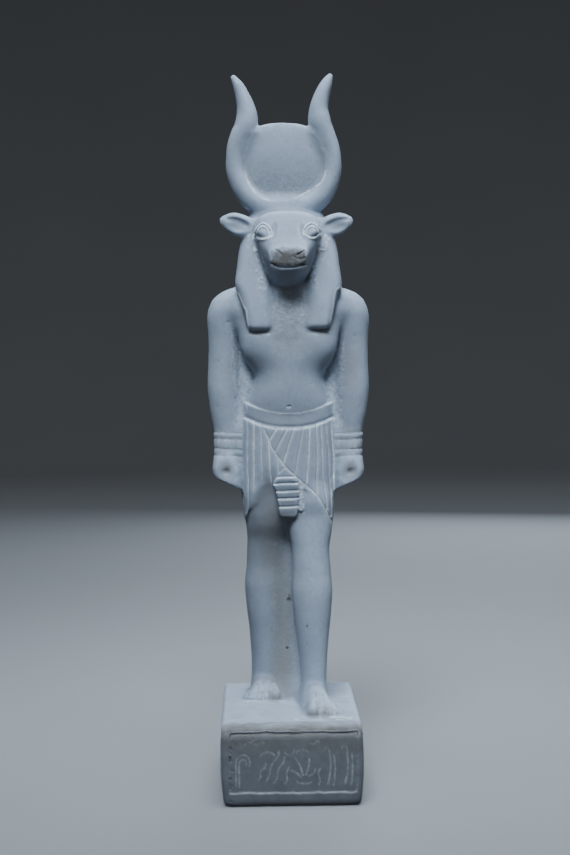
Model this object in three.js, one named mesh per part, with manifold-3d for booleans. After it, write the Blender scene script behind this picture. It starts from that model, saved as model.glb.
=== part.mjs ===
// A standing cow-headed goddess with a sun disc between lyre-shaped horns, carved with her back pillar and
// her base from one block of white stone. Millimetres, +Z up, the front towards -Y and +X to the viewer's
// right. The origin is on the ground under the middle of the statue.

import * as THREE from "three";
import { LoftGeometry } from "three/addons/geometries/LoftGeometry.js";
import { mergeVertices } from "three/addons/utils/BufferGeometryUtils.js";
import Module from "manifold-3d";

const wasm = await Module();
wasm.setup();

const STONE = new THREE.MeshStandardMaterial({ color: 0xd3d9df, roughness: 0.6, metalness: 0 });

// Driving dimensions. The forms are measured in a view that is turned by TURN round Y about the middle of the
// base's underside. The finished figure is turned upright again and moved by SHIFT_X on to its middle.
const TURN = 0.015;
const SHIFT_X = -2.37;
const BASE_DEPTH = 92;
const BASE_TOP = 37.4;
const BASE_CORNER = 2.6;
const BASE_X = 0.8;
const HEAD_X = -0.6;
const HEADDRESS_X = -2.3;
const HEADDRESS_LEAN = 0.022;
const HEADDRESS_Y = 20;
const PANEL = { halfWidth: 28.8, low: 6.8, high: 33.4, depth: 0.8 };
const STROKE = {
  width: 1.2,
  depth: 0.8,
  margin: 4,
  count: 12,
  leans: [1.6, -1.2, 0.4],
  lows: [9.8, 11.8, 10.4, 13.8],
  tops: [24.8, 22.4, 24],
  shortZ: 28.8,
  shortRise: 0.4,
  shortX: [-23, -17.6, -12.6, 12.6, 19],
  shortLength: [4, 3.4, 2.6, 4.4, 2.6],
};
const TOES = {
  gaps: [0.34, 0.58, 0.75, 0.9],
  groove: 0.5,
  length: 10,
  reach: 4,
  slope: 0.12,
  spread: 8.6,
  top: 3,
  arch: 0.9,
  sunk: 0.6,
};
const PILLAR = { width: 34, front: 27, back: 43, top: 262 };
const KILT = { y: 20, cutFront: -2, foldTop: 176 };
const HEM = { halfWidth: 21.5, low: 122, high: 142.5 };
const PLEAT = { count: 22, width: 1.1, depth: 0.9, plainFrontFrom: 0.6, plainRightOf: -0.66 };
const BELT = { low: 177, high: 184.6, dip: 5.9, power: 2.3, y: 20.2 };
const DISC = { z: 305.4, a: 20.8, c: 19.8, n: 2.7, halfDepth: 4, faceShare: 0.88, rimDepth: 2 };
const TAB = { front: 3.6, back: 15 };
const RIB = { z: [146.6, 143.6, 139.8, 136.1, 132.1], radius: 1, y: 3.9 };
const SKIN = 1;
const MERGE_DISTANCE = 1e-4;

// Key rows of a form, each with the names that the first argument lists.
function form(names, rows) {
  const keys = names.split(" ");
  return rows.map((row) => Object.fromEntries(keys.map((key, i) => [key, row[i]])));
}

// Each form is given at a few places along its length: middle (x, y or z), half width a and half depth b.
const BASE = form("at a b", [
  [0, 31.2, 45],
  [1.5, 31.8, 45.6],
  [4, 32.1, 46],
  [20, 32.8, 46],
  [34.2, 33.2, 46],
  [36.4, 32.6, 44.9],
  [37.4, 31, 43.2],
]);
const FRONT_LEG = form("at x y a b n", [
  [38, 11.8, 2.5, 6.4, 7.4, 2],
  [46, 11.6, 2.6, 6.1, 7, 2],
  [56, 11.4, 3.6, 6.5, 7.2, 2],
  [69, 11.1, 5.2, 7.9, 8.4, 2],
  [82, 10.9, 7, 9.4, 9.8, 2],
  [92, 10.7, 8.4, 10.2, 10.4, 2],
  [101, 10.5, 9.6, 9.6, 9.8, 2],
  [111, 10.2, 11.2, 9.3, 9.6, 2],
  [120, 10.2, 13.4, 10.6, 10.2, 2.1],
  [128, 10.3, 15.8, 11.6, 11.4, 2.2],
  [136, 10, 17.6, 12.2, 13, 2.2],
  [146, 9, 20, 11, 13.6, 2.2],
]);
const REAR_LEG = form("at x y a b", [
  [38, -11.8, 25.4, 6.6, 7.4],
  [46, -11.8, 25.8, 6.1, 6.8],
  [56, -11.7, 26, 6.7, 7.4],
  [69, -11.9, 26.2, 8, 8.8],
  [82, -12.2, 26.2, 9.6, 10.2],
  [92, -12.4, 26, 10.2, 10.4],
  [103, -12.2, 25.4, 9.5, 9.6],
  [114, -11.9, 24.6, 9.5, 9.8],
  [124, -11.5, 23.2, 10.6, 11],
  [136, -10.8, 21.4, 11.4, 12],
  [150, -9.6, 20, 10, 11],
]);
const LEG_WEB = form("at x y a b n", [
  [34, 0.6, 24, 12.4, 16.5, 2.6],
  [40, 0.6, 24.2, 12.4, 14.4, 2.8],
  [50, 0.6, 25, 12.2, 11.6, 3],
  [90, 0.4, 27, 11.6, 10, 3],
  [136, 0, 28, 10.6, 7, 3],
]);
const SIDE_WEB = form("at x y a b n", [
  [141, 0, 23, 25, 9, 7],
  [146, 0, 22.6, 29, 9.6, 7],
  [168, 0, 22.6, 31, 9.6, 7],
  [180, 0, 24, 32, 8.2, 7],
  [196, 0, 25.4, 32, 6.6, 7],
  [214, 0, 26.4, 32, 5.4, 7],
  [232, 0, 27, 33, 5, 7],
]);
const FRONT_FOOT = form("at x a h", [
  [9.5, 11.4, 4.4, 3.6],
  [7, 11.4, 5.8, 7],
  [1, 11.4, 6.3, 11.4],
  [-6, 11.9, 6.6, 9.8],
  [-13, 13.2, 7.6, 7.4],
  [-19, 14.8, 8.8, 5.8],
  [-25.4, 16.2, 9.8, 4.8],
  [-27.8, 16.4, 9.4, 3.6],
  [-28.8, 16.4, 8, 2.2],
]);
const REAR_FOOT = form("at x a h", [
  [34, -12, 6, 7],
  [27, -12, 6.4, 11],
  [20, -12.3, 7.4, 9.4],
  [14, -13, 8.6, 6.6],
  [8, -13.6, 9.4, 4.8],
  [6, -13.6, 9, 3.6],
  [5, -13.6, 7.8, 2.2],
]);
const KILT_SIDES = form("at x y a b n", [
  [122.4, 0, 20, 20.8, 15, 2.3],
  [127, 0, 20, 22.2, 15.7, 2.4],
  [134, 0, 20, 23.1, 16.1, 2.4],
  [160, 0, 20, 23.2, 15.6, 2.4],
  [178, 0, 20, 22.6, 14.6, 2.3],
]);
const HEM_TAB = form("at left right", [
  [127.6, -4.4, 4.2],
  [132.7, -5, 4.6],
  [136.7, -5.5, 4.7],
  [140.4, -6.4, 5.2],
  [144.2, -7.4, 4.6],
  [147.6, -5.6, 2.8],
]);
const TORSO = form("at x y a b n", [
  [172, 0, 20.4, 21.6, 13.2, 2.3],
  [184, 0, 20.4, 20.8, 13.4, 2.2],
  [193, 0, 20.2, 18.9, 13, 2.2],
  [201, 0, 20, 17.7, 11.8, 2.2],
  [208, 0, 20, 18.9, 11.6, 2.2],
  [216, 0, 20, 23.4, 12.4, 2.3],
  [224, 0, 20.6, 30, 13, 2.5],
  [232, 0, 21.2, 34, 13.2, 2.5],
  [238, 0, 22, 32.6, 11.8, 2.3],
  [242.6, 0, 23, 26, 9, 2],
]);
const BREAST = { x: 12.8, y: 13.2, z: 212.6, a: 11.4, b: 10.4, c: 11.2 };
const BELLY = { x: 0, y: 14.2, z: 187, a: 17, b: 7.4, c: 16 };
const CHEST = { x: 0, y: 12.8, z: 226, a: 12, b: 10.4, c: 21 };
const ARM = form("at x y a b", [
  [155, 31, 18.6, 5.9, 6.2],
  [169, 31.5, 19, 5.9, 6.4],
  [180, 32, 19.6, 7.4, 7.6],
  [192, 32.5, 20.2, 8.2, 8.4],
  [205, 32.8, 20.8, 7.5, 8.2],
  [214, 33, 21, 7.2, 8.2],
  [224, 33, 21, 7.8, 8.8],
  [230, 32.2, 21, 8.3, 9.2],
  [235, 30.6, 21, 8.1, 8.6],
  [239, 27.8, 21.2, 7, 7.2],
  [242, 25, 21.6, 3.6, 4],
]);
const FIST = form("at x y a b", [
  [139.2, 26.4, 17.6, 2.6, 5],
  [141.4, 28, 17.6, 4.8, 7],
  [145.4, 30.2, 17.8, 6.7, 8.6],
  [150, 30.9, 18, 7.2, 9.2],
  [154.4, 31, 18.2, 6.6, 8.2],
  [158.2, 31, 18.4, 5.7, 6.4],
]);
const GRIP_HOLE = { x: 30.9, y: 9.2, z: 150, radius: 2.3 };
const BRACELET = { low: 158.2, high: 168.8, edge: 2.3, ridge: 0.9 };
const WIG = form("at x y a b", [
  [230, 0, 27, 24, 11],
  [240, 0, 27, 26.4, 14.4],
  [252, 0, 26, 25.6, 16],
  [264, 0, 25, 24.2, 16.4],
  [272, -0.6, 24, 21.6, 15.6],
  [279, -1, 23, 18.8, 12],
  [283, -1.4, 22, 15, 8.6],
]);
const LAPPET = form("at x y a b n", [
  [219.2, 14.2, 10, 4.6, 6.8, 3],
  [220, 14.3, 9.8, 6, 8, 3],
  [222, 14.5, 10, 6.5, 8.6, 3],
  [236, 16.2, 12.2, 8.2, 8.8, 2.8],
  [244, 17.6, 14.8, 9.2, 9.5, 2.7],
  [255, 17, 17.2, 8.4, 9.9, 2.5],
  [266, 15.2, 18.8, 8.3, 9.5, 2.3],
  [276, 12, 20.6, 7, 8, 2],
]);
const NECK = form("at x y a b", [
  [222, 0, 20, 15, 12],
  [236, 0, 19.4, 13, 11],
  [250, 0, 18.6, 12, 11],
]);
const HEAD = form("at top low a lean n", [
  [27, 277.6, 246, 13.6, 0.2, 2.6],
  [15, 279, 241.6, 15, 0.3, 3],
  [8.6, 279.2, 241, 14.8, 0.34, 3],
  [5, 278.2, 241.8, 14.4, 0.36, 2.8],
  [1.4, 275, 243.2, 13.6, 0.34, 2.6],
  [-3, 269.8, 245.2, 11.8, 0.24, 2.5],
  [-7, 264.4, 247, 10.2, 0.12, 2.6],
  [-10.4, 260.8, 248.4, 9.5, 0.05, 2.7],
  [-12.8, 258.8, 249.6, 8.8, 0.02, 2.8],
  [-13.8, 257.2, 251.2, 7.4, 0, 2.8],
]);
const LID = { x: 11.9, y: 1.3, z: 268, a: 4.6, b: 3, c: 4 };
const EYE = { x: 11.9, y: 0.6, z: 267.6, a: 3.4, b: 2.6, c: 2.6 };
const NOSTRIL = { x: 5.2, y: -13.4, z: 256.6, a: 1.9, b: 1.6, c: 1 };
const MOUTH = { halfWidth: 8.8, ends: 251.8, drop: 2.4, width: 1, front: -18, back: -4 };
const EAR = form("at y z b c", [
  [13, 15, 271, 4, 4.6],
  [17, 14.6, 271.4, 3.8, 4.9],
  [22, 14, 272.2, 3.4, 6],
  [26, 13.6, 273.4, 2.9, 5.8],
  [30, 13.6, 274.2, 2.2, 4.2],
  [32.6, 13.8, 274.8, 1.5, 2.4],
  [33.8, 14, 275, 0.9, 1.1],
]);
const EAR_DISH = { x: 24.4, y: 10.2, z: 272.8, a: 7.2, b: 2.5, c: 3.8 };
const HORN = form("at x z a", [
  [0, 0, 280.6, 6],
  [1, 9, 282.4, 6],
  [2, 17, 287.2, 5.8],
  [3, 22.2, 294.6, 5.3],
  [4, 24.4, 303, 4.8],
  [5, 23.9, 311, 4.8],
  [6, 20.9, 318.6, 5.7],
  [7, 18.3, 325.4, 6],
  [8, 18.2, 331, 4.9],
  [9, 19.7, 338, 4],
  [10, 22.4, 344.8, 2.9],
  [11, 24.3, 349.2, 1.3],
]);
const HORN_DEPTH = 1.15;

// One value of a form between its key rows. It eases through each row and never overshoots.
function eased(rows, key, at) {
  const slope = (i) => (rows[i + 1][key] - rows[i][key]) / (rows[i + 1].at - rows[i].at);
  const tangent = (i) => {
    if (i === 0) return slope(0);
    if (i === rows.length - 1) return slope(i - 1);
    const product = slope(i - 1) * slope(i);
    return product > 0 ? (2 * product) / (slope(i - 1) + slope(i)) : 0;
  };
  const rising = rows[1].at > rows[0].at;
  let i = 0;
  while (i < rows.length - 2 && (rising ? at > rows[i + 1].at : at < rows[i + 1].at)) i += 1;
  const span = rows[i + 1].at - rows[i].at;
  const t = (at - rows[i].at) / span;
  const [p, q] = [rows[i][key], rows[i + 1][key]];
  return (
    p * (2 * t ** 3 - 3 * t ** 2 + 1) +
    q * (3 * t ** 2 - 2 * t ** 3) +
    span * tangent(i) * (t ** 3 - 2 * t ** 2 + t) +
    span * tangent(i + 1) * (t ** 3 - t ** 2)
  );
}

// A closed geometry as a solid that can be joined and cut, with its faces turned outwards.
function solid(geometry) {
  const plain = new THREE.BufferGeometry().copy(geometry);
  plain.deleteAttribute("normal");
  plain.deleteAttribute("uv");
  const merged = mergeVertices(plain, MERGE_DISTANCE);
  const vertProperties = merged.attributes.position.array;
  const triVerts = new Uint32Array(merged.index.array);
  const made = new wasm.Manifold(new wasm.Mesh({ numProp: 3, vertProperties, triVerts }));
  if (made.volume() > 0) return made;
  return new wasm.Manifold(new wasm.Mesh({ numProp: 3, vertProperties, triVerts: triVerts.reverse() }));
}

// How far round a ring a point lies along one half axis. Above 2, n squares the ellipse off.
const reach = (part, n = 2) => Math.sign(part) * Math.abs(part) ** (2 / n);

// The ring of a form at one angle round its axis, across Z or across X.
const acrossZ = (row, angle) =>
  new THREE.Vector3(
    row.x + row.a * reach(Math.cos(angle), row.n),
    row.y + row.b * reach(Math.sin(angle), row.n),
    row.at,
  );
const acrossX = (row, angle) =>
  new THREE.Vector3(row.at, row.y + row.b * Math.cos(angle), row.z + row.c * Math.sin(angle));

// Rings have to run anticlockwise as seen from the next ring, or the skin would face inwards.
function turnsInwards([ring, next]) {
  const middle = (points) => points.reduce((sum, point) => sum.add(point), new THREE.Vector3())
    .divideScalar(points.length);
  const centre = middle(ring);
  const start = ring[0].clone().sub(centre);
  const quarter = ring[Math.floor(ring.length / 4)].clone().sub(centre);
  return start.cross(quarter).dot(middle(next).sub(centre)) < 0;
}

// A closed skin through a form's key rows, with a few even steps from each row to the next.
function loft(rows, { ring = acrossZ, sides = 20, steps = 2 } = {}) {
  const places = [];
  for (let i = 0; i < rows.length - 1; i += 1) {
    for (let k = 0; k < steps; k += 1) {
      places.push(THREE.MathUtils.lerp(rows[i].at, rows[i + 1].at, k / steps));
    }
  }
  places.push(rows.at(-1).at);
  const keys = Object.keys(rows[0]).filter((key) => key !== "at");
  const sections = places.map((at) => {
    const row = { at };
    for (const key of keys) row[key] = eased(rows, key, at);
    return Array.from({ length: sides }, (_, i) => ring(row, (2 * Math.PI * i) / sides));
  });
  if (turnsInwards(sections)) sections.forEach((section) => section.reverse());
  return solid(new LoftGeometry(sections, { capStart: true, capEnd: true }));
}

function box(x0, x1, y0, y1, z0, z1) {
  const geometry = new THREE.BoxGeometry(x1 - x0, y1 - y0, z1 - z0);
  return solid(geometry.translate((x0 + x1) / 2, (y0 + y1) / 2, (z0 + z1) / 2));
}

function ellipsoid({ x, y, z, a, b, c }, across = 16, down = 10) {
  return solid(new THREE.SphereGeometry(1, across, down).scale(a, b, c).translate(x, y, z));
}

// A thin upright wall that shows from the front as the line from (x0, z0) to (x1, z1).
function frontLine([x0, z0], [x1, z1], width, y0, y1) {
  const length = Math.hypot(x1 - x0, z1 - z0);
  const geometry = new THREE.BoxGeometry(length, y1 - y0, width);
  geometry.rotateY(-Math.atan2(z1 - z0, x1 - x0));
  return solid(geometry.translate((x0 + x1) / 2, (y0 + y1) / 2, (z0 + z1) / 2));
}

const join = (pieces) => pieces.reduce((whole, piece) => whole.add(piece));
const widened = (rows, by) => rows.map((row) => ({ ...row, a: row.a + by, b: row.b + by }));
const shifted = (rows, by) => rows.map((row) => ({ ...row, x: (row.x ?? 0) + by }));
const mirrored = (rows) => rows.map((row) => ({ ...row, x: -row.x }));

// Both sides of a form that is given for the +X side.
const pair = (rows, options) => join([loft(rows, options), loft(mirrored(rows), options)]);

// Lines cut into a form to an even depth: its slimmer core fills the bottom of each cut.
const engraved = (outer, core, lines) => outer.subtract(join(lines)).add(core);

// A rectangle with round corners.
function blockRing(row, angle) {
  const [cos, sin] = [Math.cos(angle), Math.sin(angle)];
  const x = Math.sign(cos) * (row.a - BASE_CORNER) + BASE_CORNER * cos;
  const y = Math.sign(sin) * (row.b - BASE_CORNER) + BASE_CORNER * sin;
  return new THREE.Vector3(x, y, row.at);
}

// Shallow strokes in two rows, tall ones below and short ones above, leaning one way and the other.
function panelStrokes() {
  const front = -BASE_DEPTH / 2 + PANEL.depth;
  const far = PANEL.halfWidth - STROKE.margin;
  const lines = [];
  for (let i = 0; i < STROKE.count; i += 1) {
    const x = THREE.MathUtils.lerp(-far, far, i / (STROKE.count - 1));
    const lean = STROKE.leans[i % STROKE.leans.length];
    const low = STROKE.lows[i % STROKE.lows.length];
    const top = STROKE.tops[i % STROKE.tops.length];
    lines.push([[x - lean, low], [x + lean, top]]);
  }
  STROKE.shortX.forEach((x, i) => {
    const half = STROKE.shortLength[i] / 2;
    lines.push([[x - half, STROKE.shortZ], [x + half, STROKE.shortZ + STROKE.shortRise]]);
  });
  return join(
    lines.map(([from, to]) => frontLine(from, to, STROKE.width, front - 1, front + STROKE.depth)),
  );
}

function base() {
  // Half a step of turn puts no point on the middle of a side, where the corner arcs meet.
  const sides = 24;
  const ring = (row, angle) => blockRing(row, angle + Math.PI / sides);
  const block = loft(BASE, { ring, sides, steps: 1 });
  const { halfWidth, low, high, depth } = PANEL;
  const front = -BASE_DEPTH / 2;
  const panel = box(-halfWidth, halfWidth, front - 1, front + depth, low, high);
  return block.subtract(panel).subtract(panelStrokes());
}

// The pillar and the stone left standing between the legs and between the arms and the body.
function backing() {
  const half = PILLAR.width / 2;
  const pillar = box(-half, half, PILLAR.front, PILLAR.back, BASE_TOP - 2, PILLAR.top);
  return join([
    pillar,
    loft(LEG_WEB, { sides: 12, steps: 1 }),
    loft(SIDE_WEB, { sides: 12, steps: 1 }),
  ]);
}

// A foot is half sunk in the base: an arched ring of height h, with cuts that part the toes. The big toe
// is on the inner side, and toeSide is -1 where that is towards -X.
function foot(rows, toeSide) {
  const ground = BASE_TOP - TOES.sunk;
  const footRing = (row, angle) =>
    new THREE.Vector3(row.x + row.a * Math.cos(angle), row.at, ground + row.h * Math.sin(angle));
  const tip = rows.at(-1);
  const cuts = TOES.gaps.map((share) => {
    const across = toeSide * (1 - 2 * share);
    const groove = new THREE.CylinderGeometry(TOES.groove, TOES.groove, TOES.length, 4);
    groove.rotateX(Math.PI / 2 + TOES.slope);
    const drop = TOES.arch * Math.abs(across);
    const z = BASE_TOP + TOES.top - drop;
    return solid(groove.translate(tip.x + across * TOES.spread, tip.at + TOES.reach, z));
  });
  return loft(rows, { ring: footRing, sides: 12, steps: 1 }).subtract(join(cuts));
}

// Pleats stand all round the kilt but for the wrapped part of its front: every third point is drawn in.
function kiltRing(row, angle) {
  const wrapped = -Math.sin(angle) > PLEAT.plainFrontFrom && Math.cos(angle) > PLEAT.plainRightOf;
  const drawnIn = Math.cos(PLEAT.count * angle) > 0 && !wrapped ? PLEAT.depth : 0;
  return acrossZ({ ...row, a: row.a - drawnIn, b: row.b - drawnIn }, angle);
}

// The kilt: folds that fan out above the wrapped edge, an arched hem and a ribbed tab.
function kilt() {
  const options = { ring: kiltRing, sides: 3 * PLEAT.count, steps: 1 };
  const lines = [];
  const cut = (from, to) => lines.push(frontLine(from, to, PLEAT.width, KILT.cutFront, KILT.y));
  const wrap = [
    [-12.2, 171.2],
    [-8.8, 162.3],
    [2.6, 148.5],
    [13.7, 138.6],
    [20.8, 127.3],
  ];
  for (let i = 1; i < wrap.length; i += 1) cut(wrap[i - 1], wrap[i]);
  for (const x of [-13.4, -9.6]) cut([x, 165], [x + 0.6, 141]);
  const folds = [
    [-6.1, -9.5, 165.6],
    [-0.9, -6.5, 160],
    [2.6, -2.8, 154],
    [7, 3.1, 149.2],
    [10.6, 8.6, 143.6],
    [13.8, 13.8, 139.2],
    [16.4, 18.6, 132],
  ];
  for (const [top, low, z] of folds) cut([top, KILT.foldTop], [low, z]);
  const core = loft(widened(KILT_SIDES, -PLEAT.depth), { sides: 20, steps: 1 });
  const cloth = engraved(loft(KILT_SIDES, options), core, lines);

  const arch = new THREE.Shape();
  arch.absellipse(0, HEM.low, HEM.halfWidth, HEM.high - HEM.low, 0, Math.PI);
  const extrusion = { depth: KILT.y + 2, curveSegments: 12, bevelEnabled: false };
  const opening = new THREE.ExtrudeGeometry(arch, extrusion);
  opening.rotateX(Math.PI / 2).translate(0, KILT.y, 0);
  return cloth.subtract(solid(opening)).add(tab());
}

// The tab hangs in front of the legs: a tongue that narrows downwards, with a stack of ribs.
function tab() {
  const tongue = new THREE.Shape();
  const leftEdge = HEM_TAB.map(({ at, left }) => [left, at]);
  const rightEdge = HEM_TAB.map(({ at, right }) => [right, at]).reverse();
  tongue.setFromPoints([...leftEdge, ...rightEdge].map(([x, z]) => new THREE.Vector2(x, z)));
  const depth = TAB.back - TAB.front;
  const slab = new THREE.ExtrudeGeometry(tongue, { depth, bevelEnabled: false });
  const ribs = RIB.z.map((z) => {
    const left = eased(HEM_TAB, "left", z);
    const right = eased(HEM_TAB, "right", z);
    const rib = new THREE.CylinderGeometry(RIB.radius, RIB.radius, right - left, 6).rotateZ(Math.PI / 2);
    return solid(rib.translate((left + right) / 2, RIB.y, z));
  });
  return join([solid(slab.rotateX(Math.PI / 2).translate(0, TAB.back, 0)), ...ribs]);
}

// A band whose front dips, as a hip belt does.
function belt() {
  const ring = (row, angle) => {
    const point = acrossZ(row, angle);
    point.z -= BELT.dip * Math.max(0, -Math.sin(angle)) ** BELT.power;
    return point;
  };
  const rows = form("at x y a b", [
    [BELT.low - 2, 0, BELT.y, 23.4, 15.6],
    [BELT.low, 0, BELT.y, 23.4, 15.6],
    [BELT.high, 0, BELT.y, 22.5, 14.9],
  ]);
  return loft(rows, { ring, sides: 28, steps: 1 });
}

function torso() {
  const breasts = [-1, 1].map((side) => ellipsoid({ ...BREAST, x: side * BREAST.x }, 12, 8));
  const bulges = [...breasts, ellipsoid(BELLY, 12, 7), ellipsoid(CHEST, 12, 7)];
  return join([loft(TORSO, { sides: 20, steps: 1 }), ...bulges]);
}

function arms() {
  const bracelet = (low, high, by) => {
    const ends = [low, high].map((at) => {
      const row = { at };
      for (const key of ["x", "y", "a", "b"]) row[key] = eased(ARM, key, at);
      return row;
    });
    return pair(widened(ends, by), { sides: 10, steps: 1 });
  };
  const { low, high, edge, ridge } = BRACELET;
  const holes = [-1, 1].map((side) => {
    const ball = new THREE.SphereGeometry(GRIP_HOLE.radius, 8, 5);
    return solid(ball.translate(side * GRIP_HOLE.x, GRIP_HOLE.y, GRIP_HOLE.z));
  });
  const fists = pair(FIST, { sides: 10, steps: 1 }).subtract(join(holes));
  return join([
    pair(ARM, { sides: 10, steps: 1 }),
    fists,
    bracelet(low, low + edge, ridge),
    bracelet(high - edge, high, ridge),
  ]);
}

// The head's sections stand across Y and narrow towards the jaw by their lean.
function headRing(row, angle) {
  const up = reach(Math.sin(angle), row.n);
  const x = HEAD_X + row.a * reach(Math.cos(angle), row.n) * (1 + row.lean * up);
  return new THREE.Vector3(x, row.at, (row.top + row.low) / 2 + ((row.top - row.low) / 2) * up);
}

function head() {
  const options = { ring: headRing, sides: 20, steps: 1 };
  const core = HEAD.map((row) => ({
    ...row,
    at: row.at < 0 ? row.at + SKIN : row.at,
    a: row.a - SKIN,
    top: row.top - SKIN,
    low: row.low + SKIN,
  }));
  const lips = new THREE.Shape();
  lips.moveTo(HEAD_X - MOUTH.halfWidth, MOUTH.ends);
  lips.quadraticCurveTo(HEAD_X, MOUTH.ends - 2 * MOUTH.drop, HEAD_X + MOUTH.halfWidth, MOUTH.ends);
  lips.lineTo(HEAD_X + MOUTH.halfWidth, MOUTH.ends + MOUTH.width);
  const upper = MOUTH.ends + MOUTH.width;
  lips.quadraticCurveTo(HEAD_X, upper - 2 * MOUTH.drop, HEAD_X - MOUTH.halfWidth, upper);
  const depth = MOUTH.back - MOUTH.front;
  const mouth = new THREE.ExtrudeGeometry(lips, { depth, curveSegments: 8, bevelEnabled: false });
  mouth.rotateX(Math.PI / 2).translate(0, MOUTH.back, 0);
  const skull = engraved(loft(HEAD, options), loft(core, options), [solid(mouth)]);

  const both = (part, across, down) =>
    [-1, 1].map((side) => ellipsoid({ ...part, x: HEAD_X + side * part.x }, across, down));
  const bulges = [...both(LID, 10, 7), ...both(EYE, 8, 5)];
  return join([skull, ...bulges]).subtract(join(both(NOSTRIL, 6, 4)));
}

// Leaf-shaped ears that stand out sideways, dished towards the front.
function ears() {
  return join(
    [-1, 1].map((side) => {
      const rows = EAR.map((row) => ({ ...row, at: HEAD_X + side * row.at }));
      const leaf = loft(rows, { ring: acrossX, sides: 10, steps: 1 });
      return leaf.subtract(ellipsoid({ ...EAR_DISH, x: HEAD_X + side * EAR_DISH.x }, 10, 6));
    }),
  );
}

// The horns and the disc lean a little to one side.
const headdressX = (z) => HEADDRESS_X - HEADDRESS_LEAN * (z - DISC.z);

// The horns sweep out round the disc and on up to their tips. Their rings stand across the sweep.
function horns() {
  const last = HORN.at(-1).at;
  const sweep = (side) => (row, angle) => {
    const ahead = Math.min(row.at + 0.05, last);
    const behind = Math.max(ahead - 0.1, 0);
    const run = eased(HORN, "x", ahead) - eased(HORN, "x", behind);
    const rise = eased(HORN, "z", ahead) - eased(HORN, "z", behind);
    const across = (row.a * Math.cos(angle)) / Math.hypot(run, rise);
    return new THREE.Vector3(
      headdressX(row.z) + side * (row.x + rise * across),
      HEADDRESS_Y + HORN_DEPTH * row.a * Math.sin(angle),
      row.z - run * across,
    );
  };
  return join([-1, 1].map((side) => loft(HORN, { ring: sweep(side), sides: 10, steps: 2 })));
}

// The disc is squared off a little above, and its edge is rounded.
function disc() {
  const ring = ({ at, share }, angle) => {
    const [cos, sin] = [Math.cos(angle), Math.sin(angle)];
    const n = sin > 0 ? DISC.n : 2;
    const x = headdressX(DISC.z) + share * DISC.a * reach(cos, n);
    return new THREE.Vector3(x, HEADDRESS_Y + at, DISC.z + share * DISC.c * reach(sin, n));
  };
  const { halfDepth, rimDepth, faceShare } = DISC;
  const rows = form("at share", [
    [-halfDepth, faceShare],
    [-rimDepth, 1],
    [rimDepth, 1],
    [halfDepth, faceShare],
  ]);
  return loft(rows, { ring, sides: 32, steps: 1 });
}

function statue() {
  const figure = join([
    backing(),
    loft(shifted(FRONT_LEG, BASE_X), { sides: 12, steps: 1 }),
    loft(shifted(REAR_LEG, BASE_X), { sides: 12, steps: 1 }),
    foot(shifted(FRONT_FOOT, BASE_X), -1),
    foot(shifted(REAR_FOOT, BASE_X), 1),
    torso(),
    kilt(),
    belt(),
    arms(),
    loft(NECK, { sides: 12, steps: 1 }),
    loft(WIG, { sides: 20, steps: 1 }),
    pair(LAPPET, { sides: 10, steps: 1 }),
    head(),
    ears(),
    horns(),
    disc(),
  ]);
  const upright = asGeometry(figure).translate(-BASE_X, 0, 0).rotateY(TURN);
  return base().add(solid(upright));
}

// A joined solid as a geometry.
function asGeometry(made) {
  const { numProp, numVert, vertProperties, triVerts } = made.getMesh();
  const positions = new Float32Array(numVert * 3);
  for (let i = 0; i < numVert; i += 1) {
    positions.set(vertProperties.subarray(i * numProp, i * numProp + 3), i * 3);
  }
  const geometry = new THREE.BufferGeometry();
  geometry.setAttribute("position", new THREE.BufferAttribute(positions, 3));
  geometry.setIndex(new THREE.BufferAttribute(triVerts, 1));
  return geometry;
}

function mesh(name, made) {
  const geometry = asGeometry(made).translate(SHIFT_X, 0, 0);
  geometry.computeVertexNormals();
  const named = new THREE.Mesh(geometry, STONE);
  named.name = name;
  return named;
}

const group = new THREE.Group();
group.add(mesh("statue", statue()));

export default group;
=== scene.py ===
"""A standing cow-headed goddess, carved with her back pillar and base from one block of white stone.

Every form is a distance to its surface, held on one even grid in millimetres. Each form joins those before
it with a fillet, as a carver leaves it. Fine carving then moves that surface in or out, and the grid
becomes a single mesh. +Z is up, the front is towards -Y and +X is to the viewer's right.
"""

import math

import bpy
import numpy as np
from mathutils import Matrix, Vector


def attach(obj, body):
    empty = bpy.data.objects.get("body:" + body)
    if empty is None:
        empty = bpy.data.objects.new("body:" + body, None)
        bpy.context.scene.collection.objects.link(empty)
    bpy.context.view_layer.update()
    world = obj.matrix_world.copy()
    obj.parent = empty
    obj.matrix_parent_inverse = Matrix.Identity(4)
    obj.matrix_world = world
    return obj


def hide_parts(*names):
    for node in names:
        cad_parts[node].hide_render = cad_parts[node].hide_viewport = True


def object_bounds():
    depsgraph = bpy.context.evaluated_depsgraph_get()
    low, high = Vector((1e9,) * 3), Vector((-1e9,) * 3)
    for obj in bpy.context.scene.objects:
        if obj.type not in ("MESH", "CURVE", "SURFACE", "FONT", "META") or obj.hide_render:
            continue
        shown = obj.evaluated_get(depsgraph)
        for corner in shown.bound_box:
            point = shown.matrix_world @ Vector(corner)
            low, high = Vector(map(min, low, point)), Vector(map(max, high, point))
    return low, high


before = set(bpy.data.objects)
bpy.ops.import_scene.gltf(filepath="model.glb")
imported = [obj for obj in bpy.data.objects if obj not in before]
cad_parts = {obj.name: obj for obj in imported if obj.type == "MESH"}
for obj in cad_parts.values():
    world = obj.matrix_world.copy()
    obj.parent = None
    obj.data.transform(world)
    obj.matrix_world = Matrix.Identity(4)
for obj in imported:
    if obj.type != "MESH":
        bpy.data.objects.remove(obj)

import openvdb
from mathutils import Vector

cad_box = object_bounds()

MM = 0.001

# The grid, in millimetres.
STEP = 0.45
GRID_LOW = (-43.6, -48.6, -2.7)
GRID_HIGH = (43.6, 48.6, 352.8)
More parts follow.
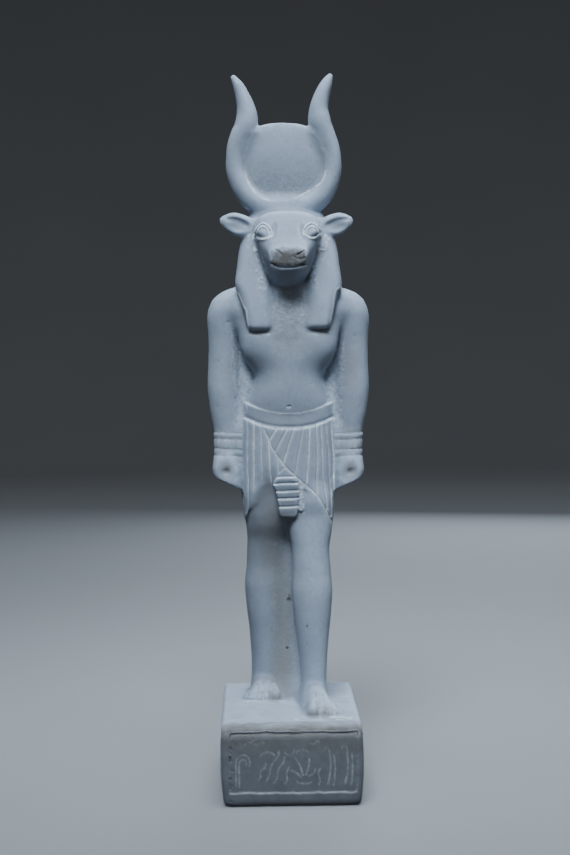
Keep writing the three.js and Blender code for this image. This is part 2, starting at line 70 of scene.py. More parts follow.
# The distance that the grid holds far from any form, the room kept round a form for its fillets, and
# how near the surface a cell is carved.
FAR = 7.0
MARGIN = 6.0
BAND = 3.5

TRIANGLES = 190000

# Where the mesh keeps the grid's full detail: the panel, both rows of toes, the kilt's front and the face.
FINE_PARTS = (
    ((-34, -49, 3), (35, -38, 40)),
    ((-24, -40, 35), (30, -20, 47)),
    ((-25, -2, 35), (3, 19, 48)),
    ((-25, -3, 127), (25, 13, 187)),
    ((-20, -20, 241), (19, 12, 276)),
)

# The forms are measured in a view that is turned by TURN round y about the middle of the base's underside.
# The finished mesh is turned upright again and moved by SHIFT_X on to its middle.
TURN = 0.015
SHIFT_X = -2.37
BASE_TOP = 37.4
BASE_X = 0.8
HEAD_X = -0.6
HEADDRESS = {"x": -2.3, "lean": 0.022, "y": 20.0, "z": 305.4}

# Upright forms: height, middle x and y, half width, half depth and squareness (2 is an ellipse).
FRONT_LEG = (
    (38, 11.8, 2.5, 6.4, 7.4, 2),
    (46, 11.6, 2.6, 6.1, 7.0, 2),
    (56, 11.4, 3.6, 6.5, 7.2, 2),
    (69, 11.1, 5.2, 7.9, 8.4, 2),
    (82, 10.9, 7.0, 9.4, 9.8, 2),
    (92, 10.7, 8.4, 10.2, 10.4, 2),
    (101, 10.5, 9.6, 9.6, 9.8, 2),
    (111, 10.2, 11.2, 9.3, 9.6, 2),
    (120, 10.2, 13.4, 10.6, 10.3, 2.1),
    (128, 10.3, 15.8, 11.6, 11.5, 2.2),
    (136, 10.0, 17.4, 12.2, 13.4, 2.2),
    (146, 9.0, 20.0, 11.6, 14.4, 2.2),
)
REAR_LEG = (
    (38, -11.8, 25.4, 6.6, 7.4, 2),
    (46, -11.8, 25.8, 6.1, 6.8, 2),
    (56, -11.7, 26.0, 6.7, 7.4, 2),
    (69, -11.9, 26.2, 8.0, 8.8, 2),
    (82, -12.2, 26.2, 9.6, 10.2, 2),
    (92, -12.4, 26.0, 10.2, 10.4, 2),
    (103, -12.2, 25.4, 9.5, 9.6, 2),
    (114, -11.9, 24.2, 9.5, 10.2, 2),
    (124, -11.5, 22.2, 10.6, 12.4, 2.2),
    (136, -10.8, 20.4, 11.6, 13.8, 2.3),
    (150, -9.6, 19.6, 10.6, 12.4, 2.2),
)
KILT = (
    (122.4, 0, 20, 20.8, 15.0, 2.3),
    (127, 0, 20, 22.2, 15.7, 2.4),
    (134, 0, 20, 23.1, 16.1, 2.4),
    (144, 0, 20, 23.4, 16.1, 2.4),
    (160, 0, 20, 23.4, 15.8, 2.4),
    (184, 0, 20, 23.2, 15.3, 2.3),
)
TORSO = (
    (172, 0, 20.4, 21.0, 13.2, 2.3),
    (184, 0.2, 20.4, 20.6, 13.8, 2.2),
    (190, 0.3, 20.2, 18.9, 13.6, 2.2),
    (197, 0.4, 20.0, 16.8, 13.4, 2.2),
    (203, 0.3, 20.0, 17.9, 13.5, 2.2),
    (209, 0.2, 20.0, 20.6, 13.7, 2.2),
    (216, 0, 20.0, 23.8, 13.5, 2.3),
    (224, 0, 20.6, 29.4, 13.2, 2.5),
    (232, 0, 21.2, 33.6, 12.8, 2.5),
    (238, 0, 22.0, 32.4, 11.6, 2.3),
    (242.6, 0, 23.0, 26.0, 9.0, 2.0),
)
ARM = (
    (152, 31.0, 18.6, 5.9, 6.2, 2),
    (169, 31.5, 19.0, 5.9, 6.4, 2),
    (180, 32.0, 19.6, 7.4, 7.6, 2),
    (192, 32.5, 20.2, 8.2, 8.4, 2),
    (205, 32.8, 20.8, 7.5, 8.2, 2),
    (214, 33.0, 21.0, 7.2, 8.2, 2),
    (224, 33.0, 21.0, 7.8, 8.8, 2),
    (230, 32.2, 21.0, 8.3, 9.2, 2),
    (235, 30.6, 21.0, 8.1, 8.6, 2),
    (239, 27.8, 21.2, 7.0, 7.2, 2),
    (242, 25.0, 21.6, 3.6, 4.0, 2),
)
FIST = (
    (134, 30.0, 18.0, 7.2, 9.0, 2.6),
    (146, 30.3, 18.0, 7.4, 9.3, 2.6),
    (150, 30.7, 18.0, 7.4, 9.3, 2.6),
    (154.4, 31.0, 18.2, 6.7, 8.2, 2.4),
    (158.2, 31.0, 18.4, 5.8, 6.6, 2),
)
WIG = (
    (228, 0, 27, 23.0, 10.0, 2.2),
    (240, 0, 27, 26.2, 14.2, 2.2),
    (252, 0, 26, 25.6, 16.0, 2.3),
    (264, 0, 25, 24.2, 16.2, 2.3),
    (272, -0.6, 24, 21.6, 15.6, 2.2),
    (279, -1.0, 23, 18.8, 12.0, 2),
    (283, -1.4, 22, 15.0, 8.6, 2),
)
LAPPET = (
    (218.6, 14.2, 9.8, 6.1, 8.4, 3.2),
    (226, 14.9, 10.6, 6.8, 8.6, 3.0),
    (236, 16.2, 12.2, 8.0, 8.6, 2.8),
    (244, 17.6, 14.8, 9.0, 9.4, 2.7),
    (255, 17.2, 17.2, 8.2, 9.8, 2.5),
    (266, 15.4, 18.8, 8.2, 9.4, 2.3),
    (276, 12.0, 20.6, 7.0, 8.0, 2),
)
NECK = (
    (222, 0, 20.0, 15, 12, 2),
    (236, 0, 19.4, 13, 11, 2),
    (250, 0, 18.6, 12, 11, 2),
)
CHEST = (
    (202, 1, 14, 8.0, 6.0, 2.6),
    (208, 1, 14, 8.6, 7.4, 3),
    (214, 1, 14, 9.2, 9.2, 3.4),
    (220, 1, 14, 9.6, 10.8, 3.8),
    (226, 1, 14, 9.6, 11.2, 3.8),
    (232, 1, 14.6, 9.4, 11.0, 3.6),
    (238, 1, 16, 9.0, 10.8, 3),
    (245, 1, 18, 9.0, 10.6, 2.6),
)
# The stone left standing between the legs, and beside the body from the hands up to the armpits.
LEG_WEB = (
    (34, 0.6, 24.0, 11.4, 16.5, 2.6),
    (40, 0.6, 24.2, 11.4, 14.4, 2.8),
    (50, 0.6, 25.0, 11.2, 11.4, 3),
    (66, 0.6, 26.0, 11.0, 10.0, 3),
    (90, 0.4, 27.0, 10.6, 9.6, 3),
    (120, 0, 28.0, 10.6, 8.4, 3),
    (136, 0, 28.0, 10.6, 6.0, 3),
)
SIDE_WEB = (
    (141, 0, 23.0, 25.0, 9.0, 7),
    (146, 0, 22.6, 29.0, 9.6, 7),
    (168, 0, 22.6, 31.0, 9.6, 7),
    (180, 0, 24.0, 32.0, 8.2, 7),
    (196, 0, 25.4, 32.0, 6.6, 7),
    (214, 0, 26.4, 32.0, 5.4, 7),
    (232, 0, 27.0, 33.0, 5.0, 7),
)
BASE_SIDES = ((0, 31.2, 44.4), (4, 31.9, 45.1), (20, 32.9, 45.7), (34, 32.6, 46), (40, 32.4, 46))

# Feet: place along y, middle x, half width and height. The front is towards -y.
FRONT_FOOT = (
    (9.5, 11.4, 4.4, 3.6),
    (7, 11.4, 5.8, 7.0),
    (1, 11.4, 6.3, 11.4),
    (-6, 11.9, 6.6, 9.8),
    (-13, 13.2, 7.4, 7.4),
    (-19, 14.4, 8.0, 5.8),
    (-24, 15.2, 8.4, 4.6),
    (-26, 15.3, 8.2, 4.0),
)
REAR_FOOT = (
    (34, -12.0, 6.0, 7.0),
    (27, -12.0, 6.4, 11.0),
    (20, -12.2, 7.2, 9.4),
    (14, -12.7, 8.4, 6.6),
    (9, -12.9, 8.8, 5.0),
    (7, -12.9, 8.6, 4.4),
)

# Toes from the big one on: middle x, where the tip ends and radius.
FRONT_TOES = (
    (10.4, -29.6, 2.5),
    (14.9, -28.2, 2.0),
    (18.3, -27.0, 1.8),
    (21.3, -25.4, 1.6),
    (23.8, -23.4, 1.4),
)
REAR_TOES = (
    (-6.4, 4.4, 2.5),
    (-11.1, 5.2, 1.9),
    (-14.7, 5.8, 1.75),
    (-17.9, 6.6, 1.55),
    (-20.5, 8.2, 1.3),
)

# The tab's left and right edges at a few heights.
TAB = (
    (127.6, -4.4, 4.2),
    (132.7, -5.0, 4.6),
    (136.7, -5.5, 4.7),
    (140.4, -6.4, 5.2),
    (144.2, -7.4, 4.6),
    (147.6, -5.4, 2.8),
)

# The head's sections across y: place, top, underside, half width, how much wider above, and squareness.
HEAD = (
    (27, 277.6, 246.0, 13.6, 0.20, 2.6),
    (15, 279.0, 241.6, 14.8, 0.30, 3.0),
    (8.6, 279.2, 241.0, 14.6, 0.34, 3.0),
    (5, 278.2, 241.8, 14.2, 0.36, 2.8),
    (1.4, 275.0, 243.2, 13.4, 0.34, 2.6),
    (-3, 269.8, 245.2, 11.6, 0.24, 2.5),
    (-7, 264.4, 247.0, 10.0, 0.12, 2.6),
    (-10.4, 260.8, 248.4, 9.4, 0.05, 2.8),
    (-13.8, 258.4, 249.6, 8.9, 0.02, 3.0),
)

# An ear's sections outwards from the head: distance, middle y and z, half depth and half height.
EAR = (
    (11, 15.0, 271.0, 4.0, 4.6),
    (17, 14.6, 271.4, 3.8, 4.9),
    (22, 14.0, 272.2, 3.4, 6.0),
    (26, 13.6, 273.4, 2.9, 5.8),
    (30, 13.6, 274.2, 2.2, 4.2),
    (32.6, 13.8, 274.8, 1.5, 2.4),
    (33.8, 14.0, 275.0, 0.9, 1.1),
)

# A horn from its root to its tip: distance from the middle, height and half thickness.
HORN = (
    (0, 0.0, 280.6, 6.0),
    (1, 9.0, 282.4, 6.0),
    (2, 17.0, 287.2, 5.8),
    (3, 22.2, 294.6, 5.3),
    (4, 24.4, 303.0, 4.8),
    (5, 23.9, 311.0, 4.8),
    (6, 21.2, 318.6, 5.4),
    (7, 18.7, 325.4, 5.8),
    (8, 18.3, 331.0, 5.0),
    (9, 19.7, 338.0, 4.0),
    (10, 22.4, 344.8, 2.9),
    (11, 24.3, 348.8, 1.5),
)
# The left horn is fuller beside the disc.
LEFT_HORN = HORN[:6] + (
    (6, 21.2, 318.6, 5.5),
    (7, 18.5, 323.6, 5.9),
    (8, 17.9, 328.8, 5.3),
    (9, 18.6, 334.0, 4.4),
    (10, 20.1, 339.0, 3.6),
    (11, 22.0, 343.8, 2.8),
    (12, 24.3, 348.0, 1.5),
)

# The fold in each ear, from its root outwards: distance, y and z.
EAR_FOLD = ((20.5, 12.0, 273.0), (25, 11.6, 275.4), (29.5, 11.8, 276.0))

# The belt's two edges where it runs level, behind.
BELT_LOW = 177.0
BELT_HIGH = 184.6

# The arch of the kilt's front: where it springs, its half width and its height.
ARCH_Z = 122
ARCH_HALF = 21.5
ARCH_TALL = 20.6

DISC_HALF = 20.8
DISC_TALL = 19.6

# Lines of the carving as seen from the front: places across and up.
KILT_WRAP = ((-12.2, 171.2), (-9.8, 165.8), (-8.8, 162.3), (-2.9, 153.9), (2.6, 148.5))
KILT_WRAP += ((8.5, 143.3), (13.7, 138.6), (16.9, 133.7), (21.4, 125.2))
KILT_FOLDS = (
    ((-6.1, 171.2), (-9.5, 165.6)),
    ((-0.9, 171.2), (-6.5, 160.0)),
    ((2.6, 171.2), (-2.8, 154.0)),
    ((7.0, 171.6), (3.1, 149.2)),
    ((10.4, 172), (9.6, 155), (8.6, 143.6)),
    ((13.6, 172.5), (14.1, 155), (13.8, 139.2)),
    ((15.9, 173), (17.1, 148.5), (18.9, 131.5)),
    ((18.3, 174.6), (20.3, 150), (21.2, 128)),
    ((21.0, 176), (22.6, 158), (22.8, 138)),
    ((-20.4, 176), (-20.2, 150), (-20.0, 129)),
    ((-17.2, 175), (-17.2, 150), (-17.0, 133)),
    ((-13.6, 174), (-13.4, 155), (-13.0, 137.5)),
    ((-10.2, 165), (-9.3, 155), (-8.6, 143)),
    ((-5.8, 158.5), (-5.2, 150)),
)
TAB_PEAK = ((-5.4, 148.6), (-1.9, 152.4), (1.4, 149.4))
TAB_LEDGES = (128.4, 132.7, 136.7, 140.4, 144.2, 147.4)
THUMB = ((25.2, 147.5), (28.6, 145.2), (32.5, 143.4), (35.6, 144.6))
EYES = (
    {
        "upper": ((-17.4, 266.4), (-16.2, 269.8), (-12.8, 272.4), (-9.5, 269.8), (-7.9, 266.2)),
        "lower": ((-17.4, 265.8), (-15.4, 264.6), (-12.8, 264.0), (-10.0, 264.5), (-8.0, 265.9)),
        "inner": ((-15.9, 267.0), (-15.1, 269.2), (-12.8, 270.7), (-10.5, 269.0), (-9.6, 266.6)),
        "ball": (-12.8, 267.3),
    },
    {
        "upper": ((6.9, 267.0), (8.0, 270.4), (11.0, 272.5), (14.2, 271.0), (16.3, 267.6)),
        "lower": ((7.1, 266.8), (8.6, 265.2), (11.2, 264.4), (13.8, 265.2), (16.2, 267.2)),
        "inner": ((8.4, 267.6), (9.1, 269.6), (11.2, 270.8), (13.4, 269.6), (14.5, 267.5)),
        "ball": (11.4, 267.6),
    },
)
# How each lid is cut: points along it, width, depth (negative is raised) and chalk.
LIDS = (("upper", 17, 0.7, -0.5, 0.6), ("lower", 13, 0.9, -0.55, 0.7), ("inner", 17, 0.5, -0.3, 0.7))
BROW = ((6.6, 272.2), (9.6, 274.8), (13.0, 274.4), (15.8, 272.4))
MOUTH = ((-8.8, 251.6), (-6.6, 250.2), (-3.0, 249.6), (2.0, 249.7), (5.8, 250.5), (8.6, 252.0))
NOSTRILS = (((-6.4, 257.8), (-5.2, 256.8), (-4.0, 255.6)), ((3.8, 255.4), (5.2, 256.0), (7.0, 257.4)))
NOSE_CURL = ((2.0, 254.6), (3.8, 253.6), (5.8, 253.4), (7.4, 254.4))
CHEEK_CREASE = ((8.4, 254.2), (9.0, 252.8), (9.5, 251.6))
LAPPET_EDGES = (
    ((-27.4, 240.8), (-24.7, 237.9), (-22.7, 232.5), (-20.9, 229.3), (-20.4, 224.7), (-19.9, 219.4)),
    ((26.8, 241.8), (23.4, 240.0), (22.3, 233.8), (21.9, 229.3), (21.0, 225.2), (20.5, 219.6)),
)
LAPPET_ENDS = (
    ((-19.4, 217.9), (-14.4, 217.3), (-9.0, 218.1)),
    ((9.4, 218.4), (14.6, 217.8), (19.8, 218.4)),
)
DISC_RIM = ((-14.9, 321.3), (-18.7, 317.5), (-20.6, 312.4), (-22.0, 304.7), (-21.3, 298.3), (-18.7, 291.9))
DISC_RIM += ((-15.5, 288.1), (-11.0, 285.8), (-6.5, 285.2), (-0.2, 285.4), (6.9, 288.4), (13.3, 292.3))
DISC_RIM += ((17.1, 295.3), (18.7, 300.8), (19.0, 308.5), (15.2, 316.2), (12.0, 320.0))

# The panel's left, right, lower and upper edge, and some of its strokes. An arc has its middle, half
# sizes and the angles where it starts and ends, and a ripple has its two ends.
PANEL = (-28.7, 29.4, 6.6, 34.0)
PANEL_ARCS = (
    ((-11.4, 22.6), (3.4, 2.6), 20, 165),
    ((5.4, 11.6), (3.6, 1.2), 190, 350),
    ((-1.4, 25.4), (2.2, 1.6), 200, 380),
    ((4.6, 24.6), (2.8, 1.6), 10, 190),
)
PANEL_RIPPLES = (
    ((-3.4, 10.6), (-1.6, 17.8)),
    ((12.0, 9.8), (12.6, 17.2)),
    ((-24.0, 29.0), (-18.8, 29.6)),
    ((-17.4, 29.0), (-13.0, 29.6)),
    ((8.6, 29.0), (12.2, 29.6)),
)

# Lines between the toes: where they start and end across, where along y, and up to which height.
TOE_LINES = (
    ((12.4, 16.0, 19.2), (13.3, 17.2, 20.8), -12.0, -26.0, 45.0),
    ((-8.4, -12.4, -15.7), (-8.6, -12.8, -16.3), 16.0, 3.0, 46.0),
)
# Boxes round the undersides of the jaw, the lappets' ends and the breasts, where shade is painted on them.
UNDERSIDES = (
    ((-16, -14, 238), (15, 14, 250)),
    ((-23, -2, 214), (23, 12, 221)),
    ((-24, 0, 200), (24, 16, 210)),
)

# The stone's colors: its two main tones, and what is laid over them.
STONE_SHADES = ((0.40, 0.48, 0.60), (0.49, 0.575, 0.70))
STONE_TINTS = {
    "mottle": (0.36, 0.43, 0.53),
    "grain": (0.58, 0.66, 0.77),
    "speck": (0.32, 0.35, 0.38),
    "rough": (0.62, 0.70, 0.78),
    # Painted shade in hollows, on undersides and on upward faces.
    "hollow": (0.235, 0.265, 0.308),
    # A painted highlight on edges.
    "edge": (0.72, 0.79, 0.87),
    # The white of fresh cuts, and painted highlights on ledges.
    "chalk": (0.88, 0.93, 0.97),
    # This brown and the dark one below are dirt, and painted shade in places.
    "ochre": (0.30, 0.29, 0.265),
    "grime": (0.15, 0.145, 0.135),
}
FLOOR_SHADES = ((0.36, 0.37, 0.38), (0.40, 0.41, 0.42))

# The lights: name, place and aim in metres, size, power, and spread in degrees.
LIGHTS = (
    ("overhead", (0.03, -0.22, 1.6), (0, -0.02, 0.2), (0.95, 0.8), 18.5, 180),
    ("front", (-0.1, -0.6, 0.95), (0, 0, 0.23), (0.5, 0.35), 0.66, 37),
    ("back", (0.35, 1.2, 0.5), (0, 0, 0.17), (0.6, 0.6), 4.0, 180),
)
LIGHT_COLOR = (0.80, 0.91, 1.03)
SKY_COLOR = (0.60, 0.62, 0.65, 1)
SKY_STRENGTH = 0.11

# The studio's round floor, in metres: its flat part's radius, its curve's, and the wall's height.
FLOOR_RADIUS = 2.4
CURVE_RADIUS = 1.2
WALL_TOP = 3.4

# The camera: the picture's size, its focal length and optical axis in the same pixels, and its place in
# the measured view in millimetres.
PICTURE = (570, 855)
FOCAL = 1340
AXIS_ACROSS = 259
AXIS_DOWN = 387
EYE = (-14.7, -657, 191.9)

axes = [np.arange(low, high, STEP, dtype=np.float32) for low, high in zip(GRID_LOW, GRID_HIGH)]
field = np.full([len(axis) for axis in axes], FAR, np.float32)


def upright(x, z):
    """Places of the measured view as they stand upright, from the middle of the base's underside."""
    across, turned_cos, turned_sin = x - BASE_X, math.cos(TURN), math.sin(TURN)
    return across * turned_cos + z * turned_sin, z * turned_cos - across * turned_sin


def unit(value):
    """The value kept between 0 and 1."""
    return np.clip(value, 0, 1)


def ramp(value, low, high):
    """0 below low, 1 above high, and smooth between."""
    t = unit((value - low) / (high - low))
    return t * t * (3 - 2 * t)


def beyond(value, low, high):
    """How far a value lies outside low and high, and negative between them."""
    return np.maximum(low - value, value - high)


def in_order(rows):
    """Key rows as an array, sorted by their first column."""
    rows = np.asarray(rows, float)
    return rows[np.argsort(rows[:, 0])]


def eased(rows, at):
    """The columns of some key rows at the places `at`. It runs through each row and never past it."""
    rows = in_order(rows)
    place, value = rows[:, 0], rows[:, 1:]
    slope = np.diff(value, axis=0) / np.diff(place)[:, None]
    tangent = np.zeros_like(value)
    tangent[0], tangent[-1] = slope[0], slope[-1]
    product = slope[:-1] * slope[1:]
    total = np.where(product > 0, slope[:-1] + slope[1:], 1)
    tangent[1:-1] = np.where(product > 0, 2 * product / total, 0)
    at = np.clip(np.asarray(at, float), place[0], place[-1])
    i = np.clip(np.searchsorted(place, at, side="right") - 1, 0, len(place) - 2)
    span = (place[i + 1] - place[i])[:, None]
    t = (at - place[i])[:, None] / span
    return (
        value[i] * (2 * t**3 - 3 * t**2 + 1)
        + value[i + 1] * (3 * t**2 - 2 * t**3)
        + span * tangent[i] * (t**3 - 2 * t**2 + t)
        + span * tangent[i + 1] * (t**3 - t**2)
    ).astype(np.float32)


def smooth_path(points, count):
    """More points on an even curve through a few."""
    rows = [(i, *point) for i, point in enumerate(points)]
    return eased(rows, np.linspace(0, len(points) - 1, count))


def window(low, high):
    """The part of the grid between two corners, and its coordinates, shaped to combine."""
    spans = []
    for axis, a, b in zip(axes, low, high):
        spans.append(slice(int(np.searchsorted(axis, a)), int(np.searchsorted(axis, b))))
    x, y, z = (axis[span] for axis, span in zip(axes, spans))
    return tuple(spans), x[:, None, None], y[None, :, None], z[None, None, :]


def blended(a, b, fillet):
    """The smaller of two distances, with a fillet where they meet."""
    h = np.maximum(fillet - np.abs(a - b), 0) / fillet
    return np.minimum(a, b) - h * h * fillet / 4


def without(form, hole, fillet):
    """A form's distance once a hole is cut from it."""
    return -blended(-form, hole, fillet)


def ring_distance(u, v, a, b, n):
    """The distance to a ring of half axes a and b, for a point at u and v of them."""
    u = np.maximum(np.abs(u), 0.01)
    v = np.maximum(np.abs(v), 0.01)
    r = (u**n + v**n) ** (1 / n)
    slope = r ** (1 - n) * np.sqrt((u ** (n - 1) / a) ** 2 + (v ** (n - 1) / b) ** 2)
    return (r - 1) / slope


def capped(side, end, edge):
    """A form's side and flat end as one distance, with its edge rounded."""
    side = side + edge
    end = end + edge
    outside = np.sqrt(np.maximum(side, 0) ** 2 + np.maximum(end, 0) ** 2)
    return outside + np.minimum(np.maximum(side, end), 0) - edge


def add(where, distance, fillet):
    """Joins a form to those before it."""
    field[where] = blended(field[where], distance.astype(np.float32), fillet)


def cut(where, distance, fillet):
    """Takes a form away from those before it."""
    field[where] = without(field[where], distance.astype(np.float32), fillet)


def upright_side(rows, x, y, z):
    """The distance to the side of an upright form."""
    mid_x, mid_y, a, b, n = eased(rows, z.ravel()).T
    return ring_distance((x - mid_x) / a, (y - mid_y) / b, a, b, n)


def loft(rows, fillet, side=1, shift=0.0, edge=1.5):
    """Adds an upright form. side is -1 for its mirror image."""
    rows = in_order(rows)
    rows[:, 1] = side * rows[:, 1] + shift
    at, x0, y0, a, b = rows[:, :5].T
    low = ((x0 - a).min() - MARGIN, (y0 - b).min() - MARGIN, at[0] - MARGIN)
    high = ((x0 + a).max() + MARGIN, (y0 + b).max() + MARGIN, at[-1] + MARGIN)
    where, x, y, z = window(low, high)
    add(where, capped(upright_side(rows, x, y, z), beyond(z, at[0], at[-1]), edge), fillet)


def block(low, high, fillet, edge=1.0):
    """Adds a box with round edges."""
    where, x, y, z = window(np.subtract(low, MARGIN), np.add(high, MARGIN))
    middle, half = np.add(low, high) / 2, np.subtract(high, low) / 2
    outs = [np.abs(place - m) - h + edge for place, m, h in zip((x, y, z), middle, half)]
    outside = np.sqrt(sum(np.maximum(out, 0) ** 2 for out in outs))
    inside = np.minimum(np.maximum(np.maximum(outs[0], outs[1]), outs[2]), 0)
    add(where, outside + inside - edge, fillet)


def ellipsoid(middle, half):
    """Where an ellipsoid lies in the grid, and the distance to it."""
    reach = np.asarray(half) + MARGIN
    where, x, y, z = window(np.subtract(middle, reach), np.add(middle, reach))
    p = [(place - m) / h for place, m, h in zip((x, y, z), middle, half)]
    k = np.sqrt(sum(q * q for q in p)) + 1e-4
    slope = np.sqrt(sum((q / h) ** 2 for q, h in zip(p, half))) + 1e-6
    return where, k * (k - 1) / slope


def chain(points, radii, depth=1.0):
    """Where a string of round cones lies in the grid, and the distance to it. depth stretches it in y."""
    points = np.asarray(points, np.float32)
    radii = np.broadcast_to(np.asarray(radii, np.float32), len(points))
    reach = radii.max() * max(depth, 1) + MARGIN
    where, x, y, z = window(points.min(0) - reach, points.max(0) + reach)
    made = np.full(np.broadcast(x, y, z).shape, FAR, np.float32)
    for p, q, r0, r1 in zip(points[:-1], points[1:], radii[:-1], radii[1:]):
        run = q - p
        along = unit(((x - p[0]) * run[0] + (y - p[1]) * run[1] + (z - p[2]) * run[2]) / run.dot(run))
        off = (
            (x - p[0] - along * run[0]) ** 2
            + ((y - p[1] - along * run[1]) / depth) ** 2
            + (z - p[2] - along * run[2]) ** 2
        )
        made = np.minimum(made, np.sqrt(off) - (r0 + along * (r1 - r0)))
    return where, made


# The main forms, in millimetres of the measured view.


def base():
    """A block with round corners, a rounded top edge and a worn bevel along its front."""
    corner, edge, wider_behind = 2.8, 2.4, 0.6
    where, x, y, z = window((-40, -48.6, -2.7), (41, 48.6, 47))
    across, level = upright(x, z)
    a, b = np.moveaxis(eased(BASE_SIDES, level.ravel()).reshape(*level.shape, 2), -1, 0)
    qx = np.abs(across) - a - wider_behind * (y + 46) / 92 + corner
    qy = np.abs(y) - b + corner
    side = np.sqrt(np.maximum(qx, 0) ** 2 + np.maximum(qy, 0) ** 2)
    side = side + np.minimum(np.maximum(qx, qy), 0) - corner
    solid = capped(side, level - BASE_TOP, edge)
    # The bevel's plane sinks forwards by 20 degrees.
    bevel = 0.94 * level - 0.341 * y - 48.55
    add(where, without(without(solid, -bevel, 4.0), level, 2.5), 0.5)


def backing():
    """The back pillar and the stone left between the legs and beside the body."""
    block((-17, 27, BASE_TOP - 3), (17, 43, 262), 2.0, edge=1.6)
    leg_web()
    loft(SIDE_WEB, 1.6)


def leg_web():
    """The stone between the legs. Its front runs from the rear leg forward to the front one."""
    where, x, y, z = window((-22, 0, 30), (22, 44, 142))
    mid_x, mid_y, a, b, n = eased(LEG_WEB, z.ravel()).T
    along = y - mid_y + 0.5 * (x - mid_x)
    web = 0.9 * ring_distance((x - mid_x) / a, along / b, a, b, n)
    add(where, capped(web, beyond(z, LEG_WEB[0][0], LEG_WEB[-1][0]), 1.5), 6.0)


def foot(rows, toes):
    """An arched foot half sunk in the base, and its blunt toes, which fan out a little."""
    rows = in_order(rows)
    rows[:, 1] += BASE_X
    ground = BASE_TOP - 0.6
    at, mid, half, tall = rows.T
    low = ((mid - half).min() - MARGIN, at[0] - MARGIN, ground - MARGIN)
    high = ((mid + half).max() + MARGIN, at[-1] + MARGIN, ground + tall.max() + MARGIN)
    where, x, y, z = window(low, high)
    mid_x, a, h = (column[None, :, None] for column in eased(rows, y.ravel()).T)
    arch = ring_distance((x - mid_x) / a, (z - ground) / h, a, h, 2.2)
    add(where, capped(arch, beyond(y, at[0], at[-1]), 2.4), 3.0)
    for middle, tip, radius in toes:
        lean = 0.14 * (middle - mid[0])
        heights = (ground + 1.9 * radius, ground + 0.55 + 1.05 * radius, ground + 0.3 + 0.75 * radius)
        places = (tip + radius + 7, tip + radius + 3.5, tip + radius)
        points = [(middle - lean * (y0 - tip) / 8, y0, z0) for y0, z0 in zip(places, heights)]
        add(*chain(points, [radius * 0.75, radius * 0.97, radius]), 1.0)


def feet():
    foot(FRONT_FOOT, FRONT_TOES)
    foot(REAR_FOOT, REAR_TOES)


def dip(y):
    """How far the belt and the kilt's top edge sink towards the front."""
    return 5.9 * unit((20.2 - y) / 15.6) ** 2.3


def kilt():
    """The pleated kilt, open in an arch over the legs. Its left side melts into the rear thigh."""
    where, x, y, z = window((-31, -4, 116), (31, 44, 190))
    end = np.maximum(KILT[0][0] - z, z + dip(y) - BELT_LOW)
    cloth = capped(upright_side(KILT, x, y, z), end, 0.5)
    arch = ring_distance(x / ARCH_HALF, np.maximum(z - ARCH_Z, 0) / ARCH_TALL, ARCH_HALF, ARCH_TALL, 2.0)
    opening = np.maximum(arch, y - 22.0)
    # The opening's edge is soft at the upper left, where the cloth and the thigh run together.
    soft = unit((-3 - x) / 3) * unit((x + 21) / 3)
    soft = soft * unit((z - 129) / 6) * unit((148 - z) / 8)
    add(where, without(cloth, opening, 0.5 + 5.0 * soft), 0.8 + 4.0 * soft)


def tab():
    """The tab that hangs before the legs, with a narrow strip on its right and a hollow on its left."""
    cut(*ellipsoid((-10.6, -1.2, 134), (7.0, 8.4, 16)), 6.0)
    where, x, y, z = window((-14, -4, 120), (14, 24, 156))
    left, right = eased(TAB, z.ravel()).T
    face = np.maximum(3.3 + 0.05 * (147 - z) - y, y - 16)
    outline = capped(beyond(x, left, right), beyond(z, TAB[0][0], TAB[-1][0]), 1.8)
    add(where, capped(outline, face, 0.9), 1.0)
    block((5.0, 3.7, 130.4), (7.4, 16, 143.0), 0.9, edge=1.1)


def belt():
    """A band whose front dips. It narrows downwards, so the kilt's top edge stands proud of it."""
    where, x, y, z = window((-31, -4, 162), (31, 44, 192))
    level = z + dip(y)
    a, b = 22.6 + 0.1 * unit((level - BELT_LOW) / (BELT_HIGH - BELT_LOW)), 15.0
    side = ring_distance(x / a, (y - 20.2) / b, a, b, 2.2)
    add(where, capped(side, beyond(level, 170, BELT_HIGH), 0.5), 0.5)


def body():
    """The trunk with breasts, ribs and belly, and the arms."""
    loft(TORSO, 2.5)
    for side in (-1, 1):
        add(*ellipsoid((side * 12.8, 13.8, 213.4), (10.8, 9.3, 11.6)), 7.0)
    add(*ellipsoid((0.3, 14.2, 201), (12.5, 8.8, 18)), 8.0)
    add(*ellipsoid((0, 14.2, 185), (14, 7.2, 12)), 9.0)
    for side in (-1, 1):
        loft(ARM, 2.6, side=side)


def hands():
    """Closed fists with a slanting underside, each with the small hollow of its grip in front."""
    for side in (-1, 1):
        low, high = sorted((20 * side, 44 * side))
        where, x, y, z = window((low, 2, 132), (high, 36, 166))
        fist = upright_side(FIST, side * x, y, z)
        fist = capped(fist, beyond(z, FIST[0][0], FIST[-1][0]), 1.0)
        # The underside's plane rises outwards by 25 degrees.
        under = 0.424 * (side * x - 36.6) - 0.906 * (z - 146.6)
        add(where, without(fist, -under, 1.6), 1.6)
        cut(*ellipsoid((side * 31.0 - 0.6, 8.2, 151.2), (4.4, 1.7, 4.4)), 3.0)
        crook = ((side * 31.4 + 1.0, 9.4, 150.7), (side * 30.8, 10.2, 149.8), (side * 31 - 1.2, 9.6, 150.0))
        cut(*chain(crook, (0.7, 1.0, 0.5)), 1.6)


def legs():
    """Both legs, from the ankles up to the hips."""
    loft(FRONT_LEG, 4.0, shift=BASE_X)
    loft(REAR_LEG, 6.0, shift=BASE_X)


